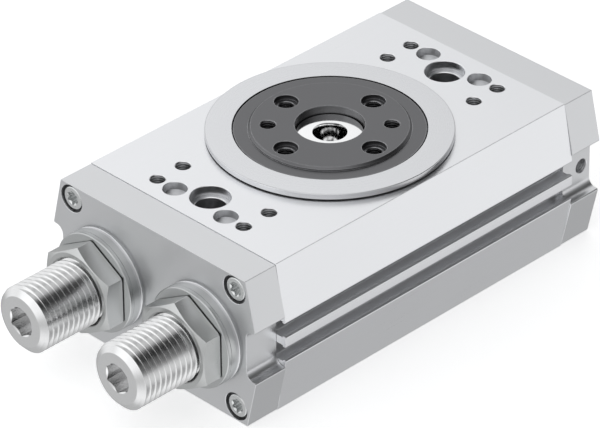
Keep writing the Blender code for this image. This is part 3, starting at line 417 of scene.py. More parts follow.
class Finish:
    """A metal or rubber material built up from node layers."""

    def __init__(self, name, colour, roughness, metallic=1.0):
        self.material = bpy.data.materials.new(name)
        self.material.use_nodes = True
        self.tree = self.material.node_tree
        self.shader = self.tree.nodes["Principled BSDF"]
        self.shader.inputs["Metallic"].default_value = metallic
        self.place = self.node("ShaderNodeTexCoord").outputs["Object"]
        self.colour = self.rgb(colour)
        self.roughness = self.value(roughness)
        self.height = self.value(0.0)

    def node(self, kind, **settings):
        node = self.tree.nodes.new(kind)
        for key, setting in settings.items():
            setattr(node, key, setting)
        return node

    def link(self, source, target):
        self.tree.links.new(source, target)

    def value(self, number):
        node = self.node("ShaderNodeValue")
        node.outputs[0].default_value = number
        return node.outputs[0]

    def rgb(self, colour):
        node = self.node("ShaderNodeRGB")
        node.outputs[0].default_value = (*colour, 1.0)
        return node.outputs[0]

    def maths(self, operation, *inputs, clamp=False):
        node = self.node("ShaderNodeMath", operation=operation, use_clamp=clamp)
        for socket, source in zip(node.inputs, inputs):
            if isinstance(source, (int, float)):
                socket.default_value = source
            else:
                self.link(source, socket)
        return node.outputs[0]

    def scaled_place(self, scale):
        node = self.node("ShaderNodeVectorMath", operation="MULTIPLY")
        self.link(self.place, node.inputs[0])
        node.inputs[1].default_value = scale
        return node.outputs[0]

    def noise(self, scale, detail=3.0):
        """Noise about zero, from -0.5 to 0.5; scale is cells per metre along x, y and z."""
        texture = self.node("ShaderNodeTexNoise")
        self.link(self.scaled_place(scale), texture.inputs["Vector"])
        texture.inputs["Scale"].default_value = 1.0
        texture.inputs["Detail"].default_value = detail
        texture.inputs["Roughness"].default_value = 0.55
        return self.maths("SUBTRACT", texture.outputs["Fac"], 0.5)

    def rings(self, cells, axis):
        """Noise that only changes with the distance from the turning axis and along it."""
        split = self.node("ShaderNodeSeparateXYZ")
        self.link(self.place, split.inputs[0])
        across = [split.outputs[name] for name in "XYZ" if name != axis]
        squares = [self.maths("MULTIPLY", part, part) for part in across]
        radius = self.maths("SQRT", self.maths("ADD", *squares))
        join = self.node("ShaderNodeCombineXYZ")
        self.link(self.maths("MULTIPLY", radius, cells), join.inputs[0])
        self.link(self.maths("MULTIPLY", split.outputs[axis], cells), join.inputs[1])
        texture = self.node("ShaderNodeTexNoise")
        texture.inputs["Scale"].default_value = 1.0
        texture.inputs["Detail"].default_value = 4.0
        self.link(join.outputs[0], texture.inputs["Vector"])
        return self.maths("SUBTRACT", texture.outputs["Fac"], 0.5)

    def shade(self, mask, amount):
        """Multiplies the colour's value by one plus the mask times the amount."""
        node = self.node("ShaderNodeHueSaturation")
        self.link(self.maths("MULTIPLY_ADD", mask, amount, 1.0), node.inputs["Value"])
        self.link(self.colour, node.inputs["Color"])
        self.colour = node.outputs[0]

    def vary(self, noise, colour=0.0, roughness=0.0, height=0.0):
        """Lets a noise change the colour's value, the roughness and the surface height, in metres."""
        if colour:
            self.shade(noise, colour)
        if roughness:
            self.roughness = self.maths("MULTIPLY_ADD", noise, roughness, self.roughness)
        if height:
            self.height = self.maths("MULTIPLY_ADD", noise, height, self.height)

    def edge_wear_and_highlight(self, width, brighten, polish):
        """Painted highlight and wear: edges are painted brighter and made smoother; they are found where a
        rounded normal leaves the true one.
        """
        bevel = self.node("ShaderNodeBevel", samples=4)
        bevel.inputs["Radius"].default_value = width
        geometry = self.node("ShaderNodeNewGeometry")
        dot = self.node("ShaderNodeVectorMath", operation="DOT_PRODUCT")
        self.link(bevel.outputs[0], dot.inputs[0])
        self.link(geometry.outputs["Normal"], dot.inputs[1])
        bend = self.maths("SUBTRACT", 1.0, dot.outputs["Value"])
        mask = self.maths("MULTIPLY", bend, 4.0, clamp=True)
        broken = self.maths("MULTIPLY_ADD", self.noise((900, 900, 900)), 1.2, 0.8, clamp=True)
        mask = self.maths("MULTIPLY", mask, broken)
        self.shade(mask, brighten)
        self.roughness = self.maths("MULTIPLY_ADD", mask, -polish, self.roughness)

    def crevice_shade(self, reach, darken):
        """Painted shade: the colour darkens on upright walls that are closed in within reach."""
        occlusion = self.node("ShaderNodeAmbientOcclusion", samples=8, only_local=True)
        occlusion.inputs["Distance"].default_value = reach
        split = self.node("ShaderNodeSeparateXYZ")
        self.link(self.node("ShaderNodeNewGeometry").outputs["True Normal"], split.inputs[0])
        upright = self.maths("SUBTRACT", 1.0, self.maths("ABSOLUTE", split.outputs["Z"]))
        closed = self.maths("MULTIPLY", upright, self.maths("SUBTRACT", 1.0, occlusion.outputs["AO"]))
        self.shade(closed, -darken)

    def done(self):
        bump = self.node("ShaderNodeBump")
        bump.inputs["Strength"].default_value = 1.0
        bump.inputs["Distance"].default_value = 1.0
        self.link(self.height, bump.inputs["Height"])
        self.link(bump.outputs[0], self.shader.inputs["Normal"])
        self.link(self.colour, self.shader.inputs["Base Color"])
        self.link(self.maths("MAXIMUM", self.roughness, 0.04), self.shader.inputs["Roughness"])
        return self.material


def extruded_aluminium():
    """Clear anodised extrusion: faint die lines along X under a fine satin grain."""
    metal = Finish("extruded aluminium", (0.86, 0.865, 0.88), 0.30)
    metal.vary(metal.noise((25, 2200, 2200), 2.0), colour=0.03, roughness=0.06, height=0.0006 * MM)
    metal.vary(metal.noise((9000, 9000, 9000), 2.0), colour=0.03, roughness=0.05, height=0.0006 * MM)
    metal.vary(metal.noise((45, 45, 45)), colour=0.03, roughness=0.05)
    # Edges painted brighter: painted highlight and wear on the broken edges.
    metal.edge_wear_and_highlight(0.2 * MM, 0.08, 0.1)
    # Painted shade on the walls of the slots, holes and recesses.
    metal.crevice_shade(5 * MM, 0.8)
    return metal.done()


def cast_cap_aluminium():
    """The caps are blasted and anodised, a shade darker than the extrusion."""
    metal = Finish("blasted aluminium", (0.74, 0.745, 0.755), 0.36)
    metal.vary(metal.noise((7000, 7000, 7000), 3.0), colour=0.05, roughness=0.08, height=0.0012 * MM)
    metal.vary(metal.noise((60, 60, 60)), colour=0.03, roughness=0.05)
    # Edges painted brighter: painted highlight and wear on the broken edges.
    metal.edge_wear_and_highlight(0.2 * MM, 0.1, 0.1)
    # Slight painted shade on the walls of the recesses and seats.
    metal.crevice_shade(4 * MM, 0.2)
    return metal.done()


def turned_metal(name, colour, roughness, axis="Z", groove=0.0008 * MM, edge=0.15, edge_width=0.2 * MM):
    """Lathe finish: fine rings about the turning axis."""
    metal = Finish(name, colour, roughness)
    metal.vary(metal.rings(9000, axis), colour=0.06, roughness=0.08, height=groove)
    metal.vary(metal.noise((80, 80, 80)), colour=0.03, roughness=0.06)
    metal.vary(metal.noise((12000, 12000, 12000), 1.0), roughness=0.04)
    # Edges painted brighter by edge: painted highlight and wear on the broken edges.
    metal.edge_wear_and_highlight(edge_width, edge, 0.06)
    return metal.done()


def plated_steel(name, colour, roughness):
    """Zinc plating: slight cloudiness and a fine crystalline grain."""
    metal = Finish(name, colour, roughness)
    metal.vary(metal.noise((5000, 5000, 5000), 2.0), colour=0.06, roughness=0.08, height=0.0008 * MM)
    metal.vary(metal.noise((220, 220, 220), 4.0), colour=0.06, roughness=0.08)
    # Edges painted brighter: painted highlight and wear on the broken edges.
    metal.edge_wear_and_highlight(0.2 * MM, 0.2, 0.08)
    return metal.done()


def soft_part(name, colour, roughness):
    """Moulded rubber or polyurethane, with a matt skin."""
    rubber = Finish(name, colour, roughness, metallic=0.0)
    rubber.vary(rubber.noise((3500, 3500, 3500), 3.0), colour=0.15, roughness=0.1, height=0.002 * MM)
    rubber.vary(rubber.noise((150, 150, 150)), colour=0.12, roughness=0.08)
    return rubber.done()


MATERIALS = {
    "anodised_aluminium": extruded_aluminium(),
    "cap_aluminium": cast_cap_aluminium(),
    "cover_aluminium": turned_metal("turned aluminium", (0.74, 0.745, 0.76), 0.28),
    "polished_shaft": turned_metal("ground shaft end", (0.92, 0.92, 0.92), 0.07, groove=0.0001 * MM),
    # The flange's edges are painted much brighter: a painted highlight on the raised face's chamfer.
    "dark_flange_steel": turned_metal(
        "dark oxidised steel", (0.16, 0.16, 0.165), 0.33, edge=3.0, edge_width=0.45 * MM),
    "screw_steel": plated_steel("zinc plated screw", (0.72, 0.73, 0.73), 0.27),
    "nut_steel": plated_steel("matt plated nut", (0.62, 0.63, 0.625), 0.3),
    "disc_steel": turned_metal("turned disc", (0.56, 0.57, 0.57), 0.3, "X"),
    "bearing_steel": turned_metal("ground bearing steel", (0.66, 0.66, 0.68), 0.16),
    "brass_cage": plated_steel("cage brass", (0.62, 0.45, 0.2), 0.32),
    "piston_aluminium": plated_steel("hard anodised piston", (0.3, 0.3, 0.32), 0.42),
    "seal_rubber": soft_part("nitrile rubber", (0.025, 0.025, 0.027), 0.6),
    "polyurethane": soft_part("green polyurethane", (0.07, 0.2, 0.11), 0.5),
    "magnet": plated_steel("sintered magnet", (0.22, 0.22, 0.23), 0.4),
}


# ---------------------------------------------------------------- housing

def housing_corners():
    """The extrusion's section: leaning flanks with two undercut sensor slots on each side of a rib."""
    rib = SLOT_RIB / 2
    top = rib + SLOT_OPENING
    neck = SIDE - SLOT_NECK
    floor = SIDE - SLOT_DEPTH
    half = [(TOP_SIDE, MID, CORNER_RADIUS), (SIDE, top, FLANK_ROUNDING)]
    for low, high in ((rib, top), (-top, -rib)):
        over = high + SLOT_UNDERCUT
        under = low - SLOT_UNDERCUT
        if low < 0:
            half.append((SIDE, high, SLOT_ROUNDING))
        half += [(neck, high), (neck, over), (floor, over, SLOT_ROUNDING)]
        half += [(floor, under, SLOT_ROUNDING), (neck, under), (neck, low)]
        if low > 0:
            half.append((SIDE, low, SLOT_ROUNDING))
    half += [(SIDE, -top, FLANK_ROUNDING), (TOP_SIDE, -MID, CORNER_RADIUS)]
    return mirrored(half)


def output_cavity():
    """Everything cut about the output axis: bearing seats, pinion chamber and circlip groove."""
    over = HEIGHT + FAR_OVER
    lead_in = 0.3 * MM
    mouth = 0.4 * MM
    relief = BEARING_SEAT - BEARING_RELIEF_DEPTH
    seat = LOWER_BEARING_HIGH.x + GAP
    shoulder = LOWER_BEARING_HIGH.z + GAP
    return turned("output cavity", [
        (0, over), (COVER_SEAT_RADIUS + lead_in, over), (COVER_SEAT_RADIUS + lead_in, HEIGHT),
        (COVER_SEAT_RADIUS, HEIGHT - lead_in), (COVER_SEAT_RADIUS, BEARING_TOP),
        (BEARING_SEAT_RADIUS, BEARING_TOP), (BEARING_SEAT_RADIUS, BEARING_SEAT),
        (BEARING_RELIEF_RADIUS, BEARING_SEAT), (BEARING_RELIEF_RADIUS, relief), (CHAMBER_RADIUS, relief),
        (CHAMBER_RADIUS, shoulder), (seat, shoulder), (seat, CIRCLIP_HIGH),
        (seat + CIRCLIP_DEPTH, CIRCLIP_HIGH), (seat + CIRCLIP_DEPTH, CIRCLIP_LOW), (seat, CIRCLIP_LOW),
        (seat, mouth), (seat + mouth, 0), (seat + mouth, -FAR_OVER), (0, -FAR_OVER),
    ])


def screw_places():
    """(name suffix, y, z) of the four screws of a cap."""
    return [(f"{level}_{side}", sign * SCREW_Y, MID + up * SCREW_Z)
            for level, up in (("upper", 1), ("lower", -1)) for side, sign in SIDES.items()]


def build_housing():
    length = HALF_LENGTH
    outline = rounded(housing_corners(), 5)
    middle = Matrix.Translation((0, 0, MID))
    body = plate("housing_extrusion", outline, -length, length, EDGE, middle @ ALONG_X)
    tools = [output_cavity()]
    reach = length + FAR_OVER
    bore = [(0, reach), (PISTON_BORE_RADIUS, reach), (PISTON_BORE_RADIUS, -reach), (0, -reach)]
    place = Matrix.Translation((0, 0, BORE_Z)) @ TO_REAR
    tools.append(turned("bores", bore, ROUND_STEPS, place, [(0, BORE_Y), (0, -BORE_Y)]))
    for end, sign in ENDS.items():
        turn = TURNS[end]
        places = [(-sign * (z - MID), y) for _, y, z in screw_places()]
        corners = tapped_hole(SCREW_HOLE_RADIUS, SCREW_PITCH, length - SCREW_HOLE_DEPTH, length)
        tools.append(turned("screw threads", corners, 20, middle @ turn, places))
    combined(body, tools)
    fixing = [(-FIXING_X, 0), (FIXING_X, 0)]
    tapped = [place for x, y in TAPPED_PLACES for place in four_ways(x, y)]
    step = HEIGHT - COUNTERBORE_DEPTH
    broken = 0.15 * MM
    lead_in = 0.2 * MM
    foot = 0.3 * MM
    counterbore = [
        (0, HEIGHT + OVER), (COUNTERBORE_RADIUS + broken + OVER, HEIGHT + OVER),
        (COUNTERBORE_RADIUS, HEIGHT - broken), (COUNTERBORE_RADIUS, step), (FIXING_RADIUS + lead_in, step),
        (FIXING_RADIUS, step - lead_in), (FIXING_RADIUS, foot), (FIXING_RADIUS + foot, 0),
        (FIXING_RADIUS + foot, -FAR_OVER), (0, -FAR_OVER)]
    centring = hole(CENTRING_RADIUS, HEIGHT - CENTRING_DEPTH, HEIGHT, 0.12 * MM)
    dish = [(radius, HEIGHT - depth) for radius, depth in CENTRING_DISH]
    centring[-2:-1] = [(CENTRING_RADIUS, HEIGHT - CENTRING_WALL), *dish]
    threads = tapped_hole(TAPPED_RADIUS, TAPPED_PITCH, HEIGHT - TAPPED_DEPTH, HEIGHT)
    combined(body, [
        turned("fixing holes", counterbore, 64, centres=fixing),
        turned("centring holes", centring, 48, centres=four_ways(*CENTRING_PLACE)),
        turned("tapped holes", threads, SMALL_ROUND_STEPS, centres=tapped),
    ])
    finish(body, MATERIALS["anodised_aluminium"], "housing_assembly", "housing", slot="anodised_aluminium")


# ---------------------------------------------------------------- end caps

def cap_corners():
    """A cap's section: the housing's, with one filleted recess down each side in place of the slots."""
    wall = SIDE - RECESS_DEPTH
    ledge = RECESS_HALF_HEIGHT - 0.1 * MM
    lip = 0.5 * MM
    half = [
        (TOP_SIDE, CAP_HALF_HEIGHT, CORNER_RADIUS), (SIDE, RECESS_HALF_HEIGHT, lip),
        *arc((wall + RECESS_FILLET, ledge - RECESS_FILLET), RECESS_FILLET, 90, 180, 8),
        *arc((wall + RECESS_FILLET, RECESS_FILLET - ledge), RECESS_FILLET, 180, 270, 8),
        (SIDE, -RECESS_HALF_HEIGHT, lip), (TOP_SIDE, -CAP_HALF_HEIGHT, CORNER_RADIUS)]
    return mirrored(half)


def post_corners(end):
    """A core with a spigot and O-ring groove at one end and, on the front cap, a filleted boss outside."""
    low = CAP_INNER - 3.8 * MM
    radius = 12.2 * MM
    groove = 10.9 * MM
    groove_low = low + 1.1 * MM
    groove_high = low + 3.1 * MM
    core = 8.0 * MM
    buried = CAP_OUTER - 2 * MM
    foot_of_core = CAP_INNER + 1 * MM
    corners = [(0, buried), (core, buried)]
    if end == "front":
        fillet = 0.5 * MM
        sunk = 0.03 * MM
        foot = BOSS_RADIUS + fillet
        face = CAP_OUTER + BOSS_HEIGHT
        curve = arc((foot, CAP_OUTER + fillet - sunk), fillet, 180, 270, 6)
        corners = [(0, face), (BOSS_RADIUS, face, 0.15 * MM), *curve, (foot, buried), (core, buried)]
    return corners + [
        (core, foot_of_core), (radius, foot_of_core), (radius, groove_high), (groove, groove_high),
        (groove, groove_low), (radius, groove_low), (radius, low, 0.3 * MM), (0, low)]


def port_tool(side, sign):
    """M5 port with a chamfered mouth."""
    wall = SIDE - RECESS_DEPTH
    depth = 5 * MM
    drop = 0.3 * MM                             # below mid height
    corners = tapped_hole(TAPPED_RADIUS, TAPPED_PITCH, wall - depth, wall)
    place = Matrix.Translation((CAP_INNER + 7.5 * MM, 0, MID - drop))
    turn = Matrix.Rotation(-sign * math.pi / 2, 4, "X")
    return turned(f"{side} port", corners, SMALL_ROUND_STEPS, place @ turn)


def build_cap(end):
    sign = ENDS[end]
    turn = TURNS[end]
    inner = HALF_LENGTH + SEAM
    low, high = sorted((sign * inner, sign * CAP_OUTER))
    middle = Matrix.Translation((0, 0, MID))
    cap = plate(f"{end}_cap_body", rounded(cap_corners(), 6), low, high, CAP_EDGE, middle @ ALONG_X)
    bores = Matrix.Translation((0, 0, BORE_Z)) @ turn
    axes = [(0, BORE_Y), (0, -BORE_Y)]
    combined(cap, [turned("posts", post_corners(end), matrix=bores, centres=axes)], "UNION")
    seat = CAP_OUTER - SCREW_SINK - SCREW_HEAD - GAP
    broken = 0.1 * MM
    through = CAP_INNER - 5 * MM
    corners = [
        (0, CAP_OUTER + OVER), (SCREW_SEAT_RADIUS + broken + OVER, CAP_OUTER + OVER),
        (SCREW_SEAT_RADIUS, CAP_OUTER - broken), (SCREW_SEAT_RADIUS, seat), (SCREW_CLEARANCE_RADIUS, seat),
        (SCREW_CLEARANCE_RADIUS, through), (0, through)]
    places = [(sign * -(z - MID), y) for _, y, z in screw_places()]
    cuts = [turned("screw seats", corners, 48, middle @ turn, places)]
    if end == "front":
        outer, inner = 80 * MM, 40 * MM
        bore = [(0, outer), (STOP_BORE, outer), (STOP_BORE, inner), (0, inner)]
        cuts.append(turned("stop bores", bore, ROUND_STEPS, bores, axes))
    else:
        cuts += [port_tool(side, side_sign) for side, side_sign in SIDES.items()]
    combined(cap, cuts)
    finish(cap, MATERIALS["cap_aluminium"], "housing_assembly", f"{end}_end_cap", slot="anodised_aluminium")


def six_lobes():
    """Outline of a six-lobe socket."""
    points = []
    for k in range(LOBE_POINTS):
        angle = FULL_TURN * (k + 0.5) / LOBE_POINTS
        radius = LOBE_MEAN + LOBE_WAVE * math.cos(6 * angle)
        points.append((radius * math.cos(angle), radius * math.sin(angle)))
    return points


def cap_screw_master():
    """A socket screw whose local z = 0 is the outer face of the head."""
    root = SCREW_SHANK - SCREW_THREAD_DEPTH
    height = -SCREW_HEAD - SCREW_PLAIN_LENGTH
    tip = -SCREW_HEAD - SCREW_LENGTH
    corners = [
        (0, 0), (SCREW_HEAD_RADIUS, 0, 0.45 * MM), (SCREW_HEAD_RADIUS, -SCREW_HEAD, 0.15 * MM),
        (SCREW_SHANK, -SCREW_HEAD, 0.2 * MM), (SCREW_SHANK, height)]
    while height - SCREW_PITCH > tip + SCREW_THREAD_DEPTH:
        corners += [(root, height - SCREW_PITCH / 2), (SCREW_SHANK, height - SCREW_PITCH)]
        height -= SCREW_PITCH
    corners += [(root, tip), (0, tip)]
    screw = turned("screw master", corners, 48)
    socket = plate("socket", six_lobes(), -2.2 * MM, FAR_OVER)
    foot = -0.3 * MM
    rim = turned("rim", [(0, OVER), (2.85 * MM, OVER), (1.7 * MM, foot), (0, foot)], 50)
    combined(screw, [rim])
    return combined(screw, [socket])


def build_cap_screws():
    master = cap_screw_master()
    for end, sign in ENDS.items():
        turn = TURNS[end]
        for suffix, y, z in screw_places():
            face = Matrix.Translation((sign * (CAP_OUTER - SCREW_SINK), y, z)) @ turn
            screw = placed_copy(master, f"{end}_screw_{suffix}", face)
            node = f"{end}_cap_screw_{suffix}"
            finish(screw, MATERIALS["screw_steel"], "housing_assembly", node, slot="screw_steel")
    bpy.data.objects.remove(master, do_unlink=True)


# ---------------------------------------------------------------- flange, shaft and cover ring

def build_cover_ring():
    inner = FLANGE_RADIUS + 0.35 * MM
    under = HEIGHT + 0.4 * MM
    spigot = 30.7 * MM
    foot = BEARING_TOP + GAP
    ring = turned("cover_ring", [
        (COVER_RADIUS, COVER_TOP, 0.3 * MM), (COVER_RADIUS, under, 0.1 * MM), (spigot, under),
        (spigot, foot, 0.3 * MM), (inner, foot), (inner, COVER_TOP, 0.08 * MM)], RING_STEPS)
    finish(ring, MATERIALS["cover_aluminium"], "housing_assembly", "bearing_cover_ring",
           slot="anodised_aluminium")


def build_flange():
    under = BEARING_TOP + GAP
    foot = BEARING_SEAT + 0.6 * MM
    hub = 22.2 * MM
    land = 24 * MM
    chamfer = 0.65 * MM
    flange = turned("output_flange", [
        (FLANGE_STEP_RADIUS - chamfer, FLANGE_FACE, 0.1 * MM),
        (FLANGE_STEP_RADIUS, FLANGE_FACE - chamfer, 0.1 * MM),
        (FLANGE_STEP_RADIUS, FLANGE_RIM, 0.08 * MM), (FLANGE_RADIUS, FLANGE_RIM, 0.12 * MM),
        (FLANGE_RADIUS, under + GAP), (land, under + GAP), (land, under), (hub, under),
        (hub, foot, 0.4 * MM), (FLANGE_BORE, foot), (FLANGE_BORE, FLANGE_FACE, 0.15 * MM)], RING_STEPS)
    radius = FLANGE_HOLE_CIRCLE
    cross = [(radius, 0), (-radius, 0), (0, radius), (0, -radius)]
    diagonal = [(sign * radius / math.sqrt(2), -sign * radius / math.sqrt(2)) for sign in (-1, 1)]
    step = FLANGE_FACE - 1.4 * MM
    floor = FLANGE_FACE - 8 * MM
    plain = tapped_hole(TAPPED_RADIUS, TAPPED_PITCH, floor, FLANGE_FACE)
    stepped = tapped_hole(TAPPED_RADIUS, TAPPED_PITCH, floor, step)
    combined(flange, [
        turned("centring holes", hole(CENTRING_RADIUS, step, FLANGE_FACE, 0.1 * MM), 48, centres=cross),
        turned("plain threads", plain, SMALL_ROUND_STEPS, centres=diagonal)])
    combined(flange, [turned("stepped threads", stepped, SMALL_ROUND_STEPS, centres=cross)])
    finish(flange, MATERIALS["dark_flange_steel"], "output_drive", "drive_flange", slot="dark_flange_steel")


def involute(angle):
    """Polar angle of an involute's point, from its pressure angle."""
    return math.tan(angle) - angle


def pinion_outline():
    """Twenty involute teeth, module 0.85, with a tooth centred on +Y."""
    module = 0.85 * MM
    teeth = 20
    pressure = math.radians(20)
    pitch_radius = module * teeth / 2
    base = pitch_radius * math.cos(pressure)
    root = pitch_radius - 1.25 * module
    tip = pitch_radius + module
    clearance = 0.08 * MM
    half = math.pi / (2 * teeth) - clearance / pitch_radius
    radii = [base + (tip - base) * k / 6 for k in range(7)]
    flank = [(root, half + involute(pressure) + 0.02)]          # the root flares a little
    flank += [(r, half + involute(pressure) - involute(math.acos(base / r))) for r in radii]
    outline = []
    for tooth in range(teeth):
        centre = math.pi / 2 + tooth * FULL_TURN / teeth
        outline += [(r * math.cos(centre - a), r * math.sin(centre - a)) for r, a in flank]
        outline += [(r * math.cos(centre + a), r * math.sin(centre + a)) for r, a in reversed(flank)]
    return outline


def build_shaft():
    mouth = 4.9 * MM
    throat = 4.45 * MM                          # the bore narrows again far below, out of sight
    top = SHAFT_HIGH.z
    low = SHAFT_LOW.z
    head = 9.5 * MM
    collar = 8.6 * MM
    journal = 7.2 * MM
    groove = 6.6 * MM
    shoulder = LOWER_BEARING_HIGH.z + GAP
    shaft = turned("hollow_shaft", [
        (mouth, top, 0.06 * MM), (head, top, 0.25 * MM), (head, PINION_HIGH, 0.2 * MM),
        (journal, PINION_HIGH), (journal, PINION_LOW), (collar, PINION_LOW), (collar, shoulder, 0.2 * MM),
        (journal, shoulder), (journal, CIRCLIP_HIGH), (groove, CIRCLIP_HIGH), (groove, CIRCLIP_LOW),
        (journal, CIRCLIP_LOW), (journal, low, 0.3 * MM), (SHAFT_BORE, low, 0.3 * MM),
        (SHAFT_BORE, top - 15 * MM), (throat, top - 14 * MM), (throat, top - 1.5 * MM)], FINE_ROUND_STEPS)
    overlap = 0.1 * MM
    gear = plate("pinion", pinion_outline(), PINION_LOW - overlap, PINION_HIGH + overlap)
    radius, high, foot = 5 * MM, 40 * MM, 8 * MM
    core = turned("core", [(0, high), (radius, high), (radius, foot), (0, foot)], 64)
    combined(gear, [core])
    combined(shaft, [gear], "UNION")
    finish(shaft, MATERIALS["polished_shaft"], "output_drive", "pinion_shaft", slot="turned_steel")


def build_lower_bearing():
    """Finished rings of the lower bearing, seen from below."""
    low = LOWER_BEARING_LOW.z
    high = LOWER_BEARING_HIGH.z
    middle = (low + high) / 2
    pitch = 9.8 * MM
    inner, outer = 7.5 * MM, 12 * MM
    groove = 1.25 * MM
    land = 0.8 * MM
    rim = 0.08 * MM
    shoulder = 0.25 * MM
    reach = math.degrees(math.acos(land / groove))
    rings = {
        "outer": [(outer, high, shoulder), (outer, low, shoulder), (pitch + land, low, rim),
                  *arc((pitch, middle), groove, -reach, reach, 10), (pitch + land, high, rim)],
        "inner": [(pitch - land, high, rim),
                  *arc((pitch, middle), groove, 180 - reach, 180 + reach, 10),
                  (pitch - land, low, rim), (inner, low, shoulder), (inner, high, shoulder)]}
    for position, body in (("outer", "housing_assembly"), ("inner", "output_drive")):
        ring = turned(f"lower_{position}_race", rings[position])
        node = f"lower_bearing_{position}_ring"
        finish(ring, MATERIALS["bearing_steel"], body, node, slot="bearing_steel")


# ---------------------------------------------------------------- end stops

def stop_screw_mesh(length):
    """One stop screw, its outer face at z = 0, thread and socket included."""
    screw = thread("stop", STOP_RADIUS, STOP_THREAD_DEPTH, STOP_PITCH, length)
    over = STOP_RADIUS + 0.4 * MM
    chamfer = STOP_CHAMFER * (over - STOP_FACE_RADIUS) / (STOP_RADIUS - STOP_FACE_RADIUS)
    tail = STOP_RADIUS - 1.2 * STOP_THREAD_DEPTH
    envelope = turned("envelope", [
        (0, 0), (STOP_FACE_RADIUS, 0, 0.25 * MM), (over, -chamfer), (over, -length + over - tail),
        (tail, -length), (0, -length)], FINE_ROUND_STEPS)
    combined(screw, [envelope], "INTERSECT")
    depth = 8 * MM
    reach = FAR_OVER
    socket = plate("socket", rounded(hexagon(STOP_SOCKET, 0.15 * MM), 2), -depth, reach)
    radius = STOP_SOCKET / math.sqrt(3) - 0.2 * MM
    mouth = turned("mouth", [(0, reach), (radius + reach, reach), (radius - reach, -reach), (0, -reach)], 62)
    low, high = -length - FAR_OVER, -length + STEM_HOLE_DEPTH
    stem = turned("stem", [(0, low), (STEM_HOLE_RADIUS, low), (STEM_HOLE_RADIUS, high), (0, high)], 48)
    return combined(screw, [socket, mouth, stem])


def nut_mesh(thickness):
    """One lock nut, its back face at z = 0, its corners chamfered in front by NUT_CHAMFER."""
    nut = plate("nut", rounded(hexagon(NUT_FLATS, 0.25 * MM), 3), 0, thickness)
    corner = NUT_FLATS / math.sqrt(3) + 0.3 * MM
    flat = NUT_FLATS / 2 - 0.3 * MM
    drop = (corner - flat) * math.tan(NUT_CHAMFER)
    back_rise, back_inset = 0.35 * MM, 0.7 * MM
    envelope = turned("envelope", [
        (0, thickness), (flat, thickness, 0.1 * MM), (corner, thickness - drop), (corner, back_rise),
        (corner - back_inset, 0), (0, 0)], FINE_ROUND_STEPS)
    combined(nut, [envelope], "INTERSECT")
    bore = STOP_RADIUS + 0.15 * MM
    mouth = 0.55 * MM
    over = thickness + FAR_OVER
    cut = turned("bore", [
        (0, over), (bore + mouth, over), (bore + mouth, thickness), (bore, thickness - mouth),
        (bore, mouth), (bore + mouth, 0), (bore + mouth, -FAR_OVER), (0, -FAR_OVER)])
    return combined(nut, [cut])


def build_stops():
    screw_low, screw_high = box("right_stop_screw")
    screw = stop_screw_mesh(screw_high.x - screw_low.x)
    nut_low, nut_high = box("right_lock_nut")
    nut = nut_mesh(nut_high.x - nut_low.x + NUT_BACK_SHIFT)
    for side, sign in SIDES.items():
        axis = Matrix.Translation((0, sign * BORE_Y, BORE_Z))
        front = Matrix.Translation((box(f"{side}_stop_screw")[0].x, 0, 0))
        screw_copy = placed_copy(screw, f"{side}_adjuster", front @ axis @ TO_FRONT)
        finish(screw_copy, MATERIALS["turned_steel_" + side], f"{side}_stop", f"{side}_stop_screw",
               slot="turned_steel")
        back = Matrix.Translation((box(f"{side}_lock_nut")[1].x + NUT_BACK_SHIFT, 0, 0))
        nut_copy = placed_copy(nut, f"{side}_hexagon_nut", back @ axis @ TO_FRONT)
        finish(nut_copy, MATERIALS["nut_steel"], f"{side}_nut", f"{side}_lock_nut", slot="nut_steel")
        build_discs(side, axis)
    for master in (screw, nut):
        bpy.data.objects.remove(master, do_unlink=True)


def build_discs(side, axis):
    """A rounded sealing disc and a support disc that all but touches it and the boss behind."""
    nearly = 0.22 * MM
    for node, body, extra, rounding in (
            ("sealing_disc", f"{side}_nut_carrier", 0, 0.45 * MM),
            ("support_disc", "housing_assembly", nearly, 0.08 * MM)):
        low, high = box(f"{side}_{node}")
        front = high.x - low.x + extra
        disc = turned(f"{side}_{node}_turned", [
            (DISC_RADIUS, front, rounding), (DISC_RADIUS, -extra, 0.08 * MM), (STOP_BORE, -extra),
            (STOP_BORE, front, 0.2 * MM)], FINE_ROUND_STEPS,
            Matrix.Translation((high.x, 0, 0)) @ axis @ TO_FRONT)
        finish(disc, MATERIALS["disc_steel"], body, f"{side}_{node}", slot="nut_steel")


def stop_material(side):
    """Turned steel whose rings run about that side's stop axis."""
    metal = Finish(f"turned steel {side}", (0.82, 0.82, 0.82), 0.17)
    shift = metal.node("ShaderNodeVectorMath", operation="SUBTRACT")
    metal.link(metal.place, shift.inputs[0])
    shift.inputs[1].default_value = (0, SIDES[side] * BORE_Y, BORE_Z)
    metal.place = shift.outputs[0]
    metal.vary(metal.rings(8000, "X"), colour=0.05, roughness=0.07, height=0.0006 * MM)
    metal.vary(metal.noise((90, 90, 90)), colour=0.03, roughness=0.06)
    # Edges painted brighter: painted highlight and wear on the broken edges.
    metal.edge_wear_and_highlight(0.2 * MM, 0.12, 0.05)
    return metal.done()


# ---------------------------------------------------------------- carried-over CAD nodes

def finish_cad_nodes():
    """The internal nodes keep their CAD shape and get their slot's material."""
    slots = {part["node"]: part["material_slot"] for part in frame["record"]["subparts"]}
    for name, obj in frame["nodes"].items():
        if obj.hide_render:
            continue
        obj.data.materials.clear()
        obj.data.materials.append(MATERIALS[slots[name]])


# ---------------------------------------------------------------- stage, lights and camera

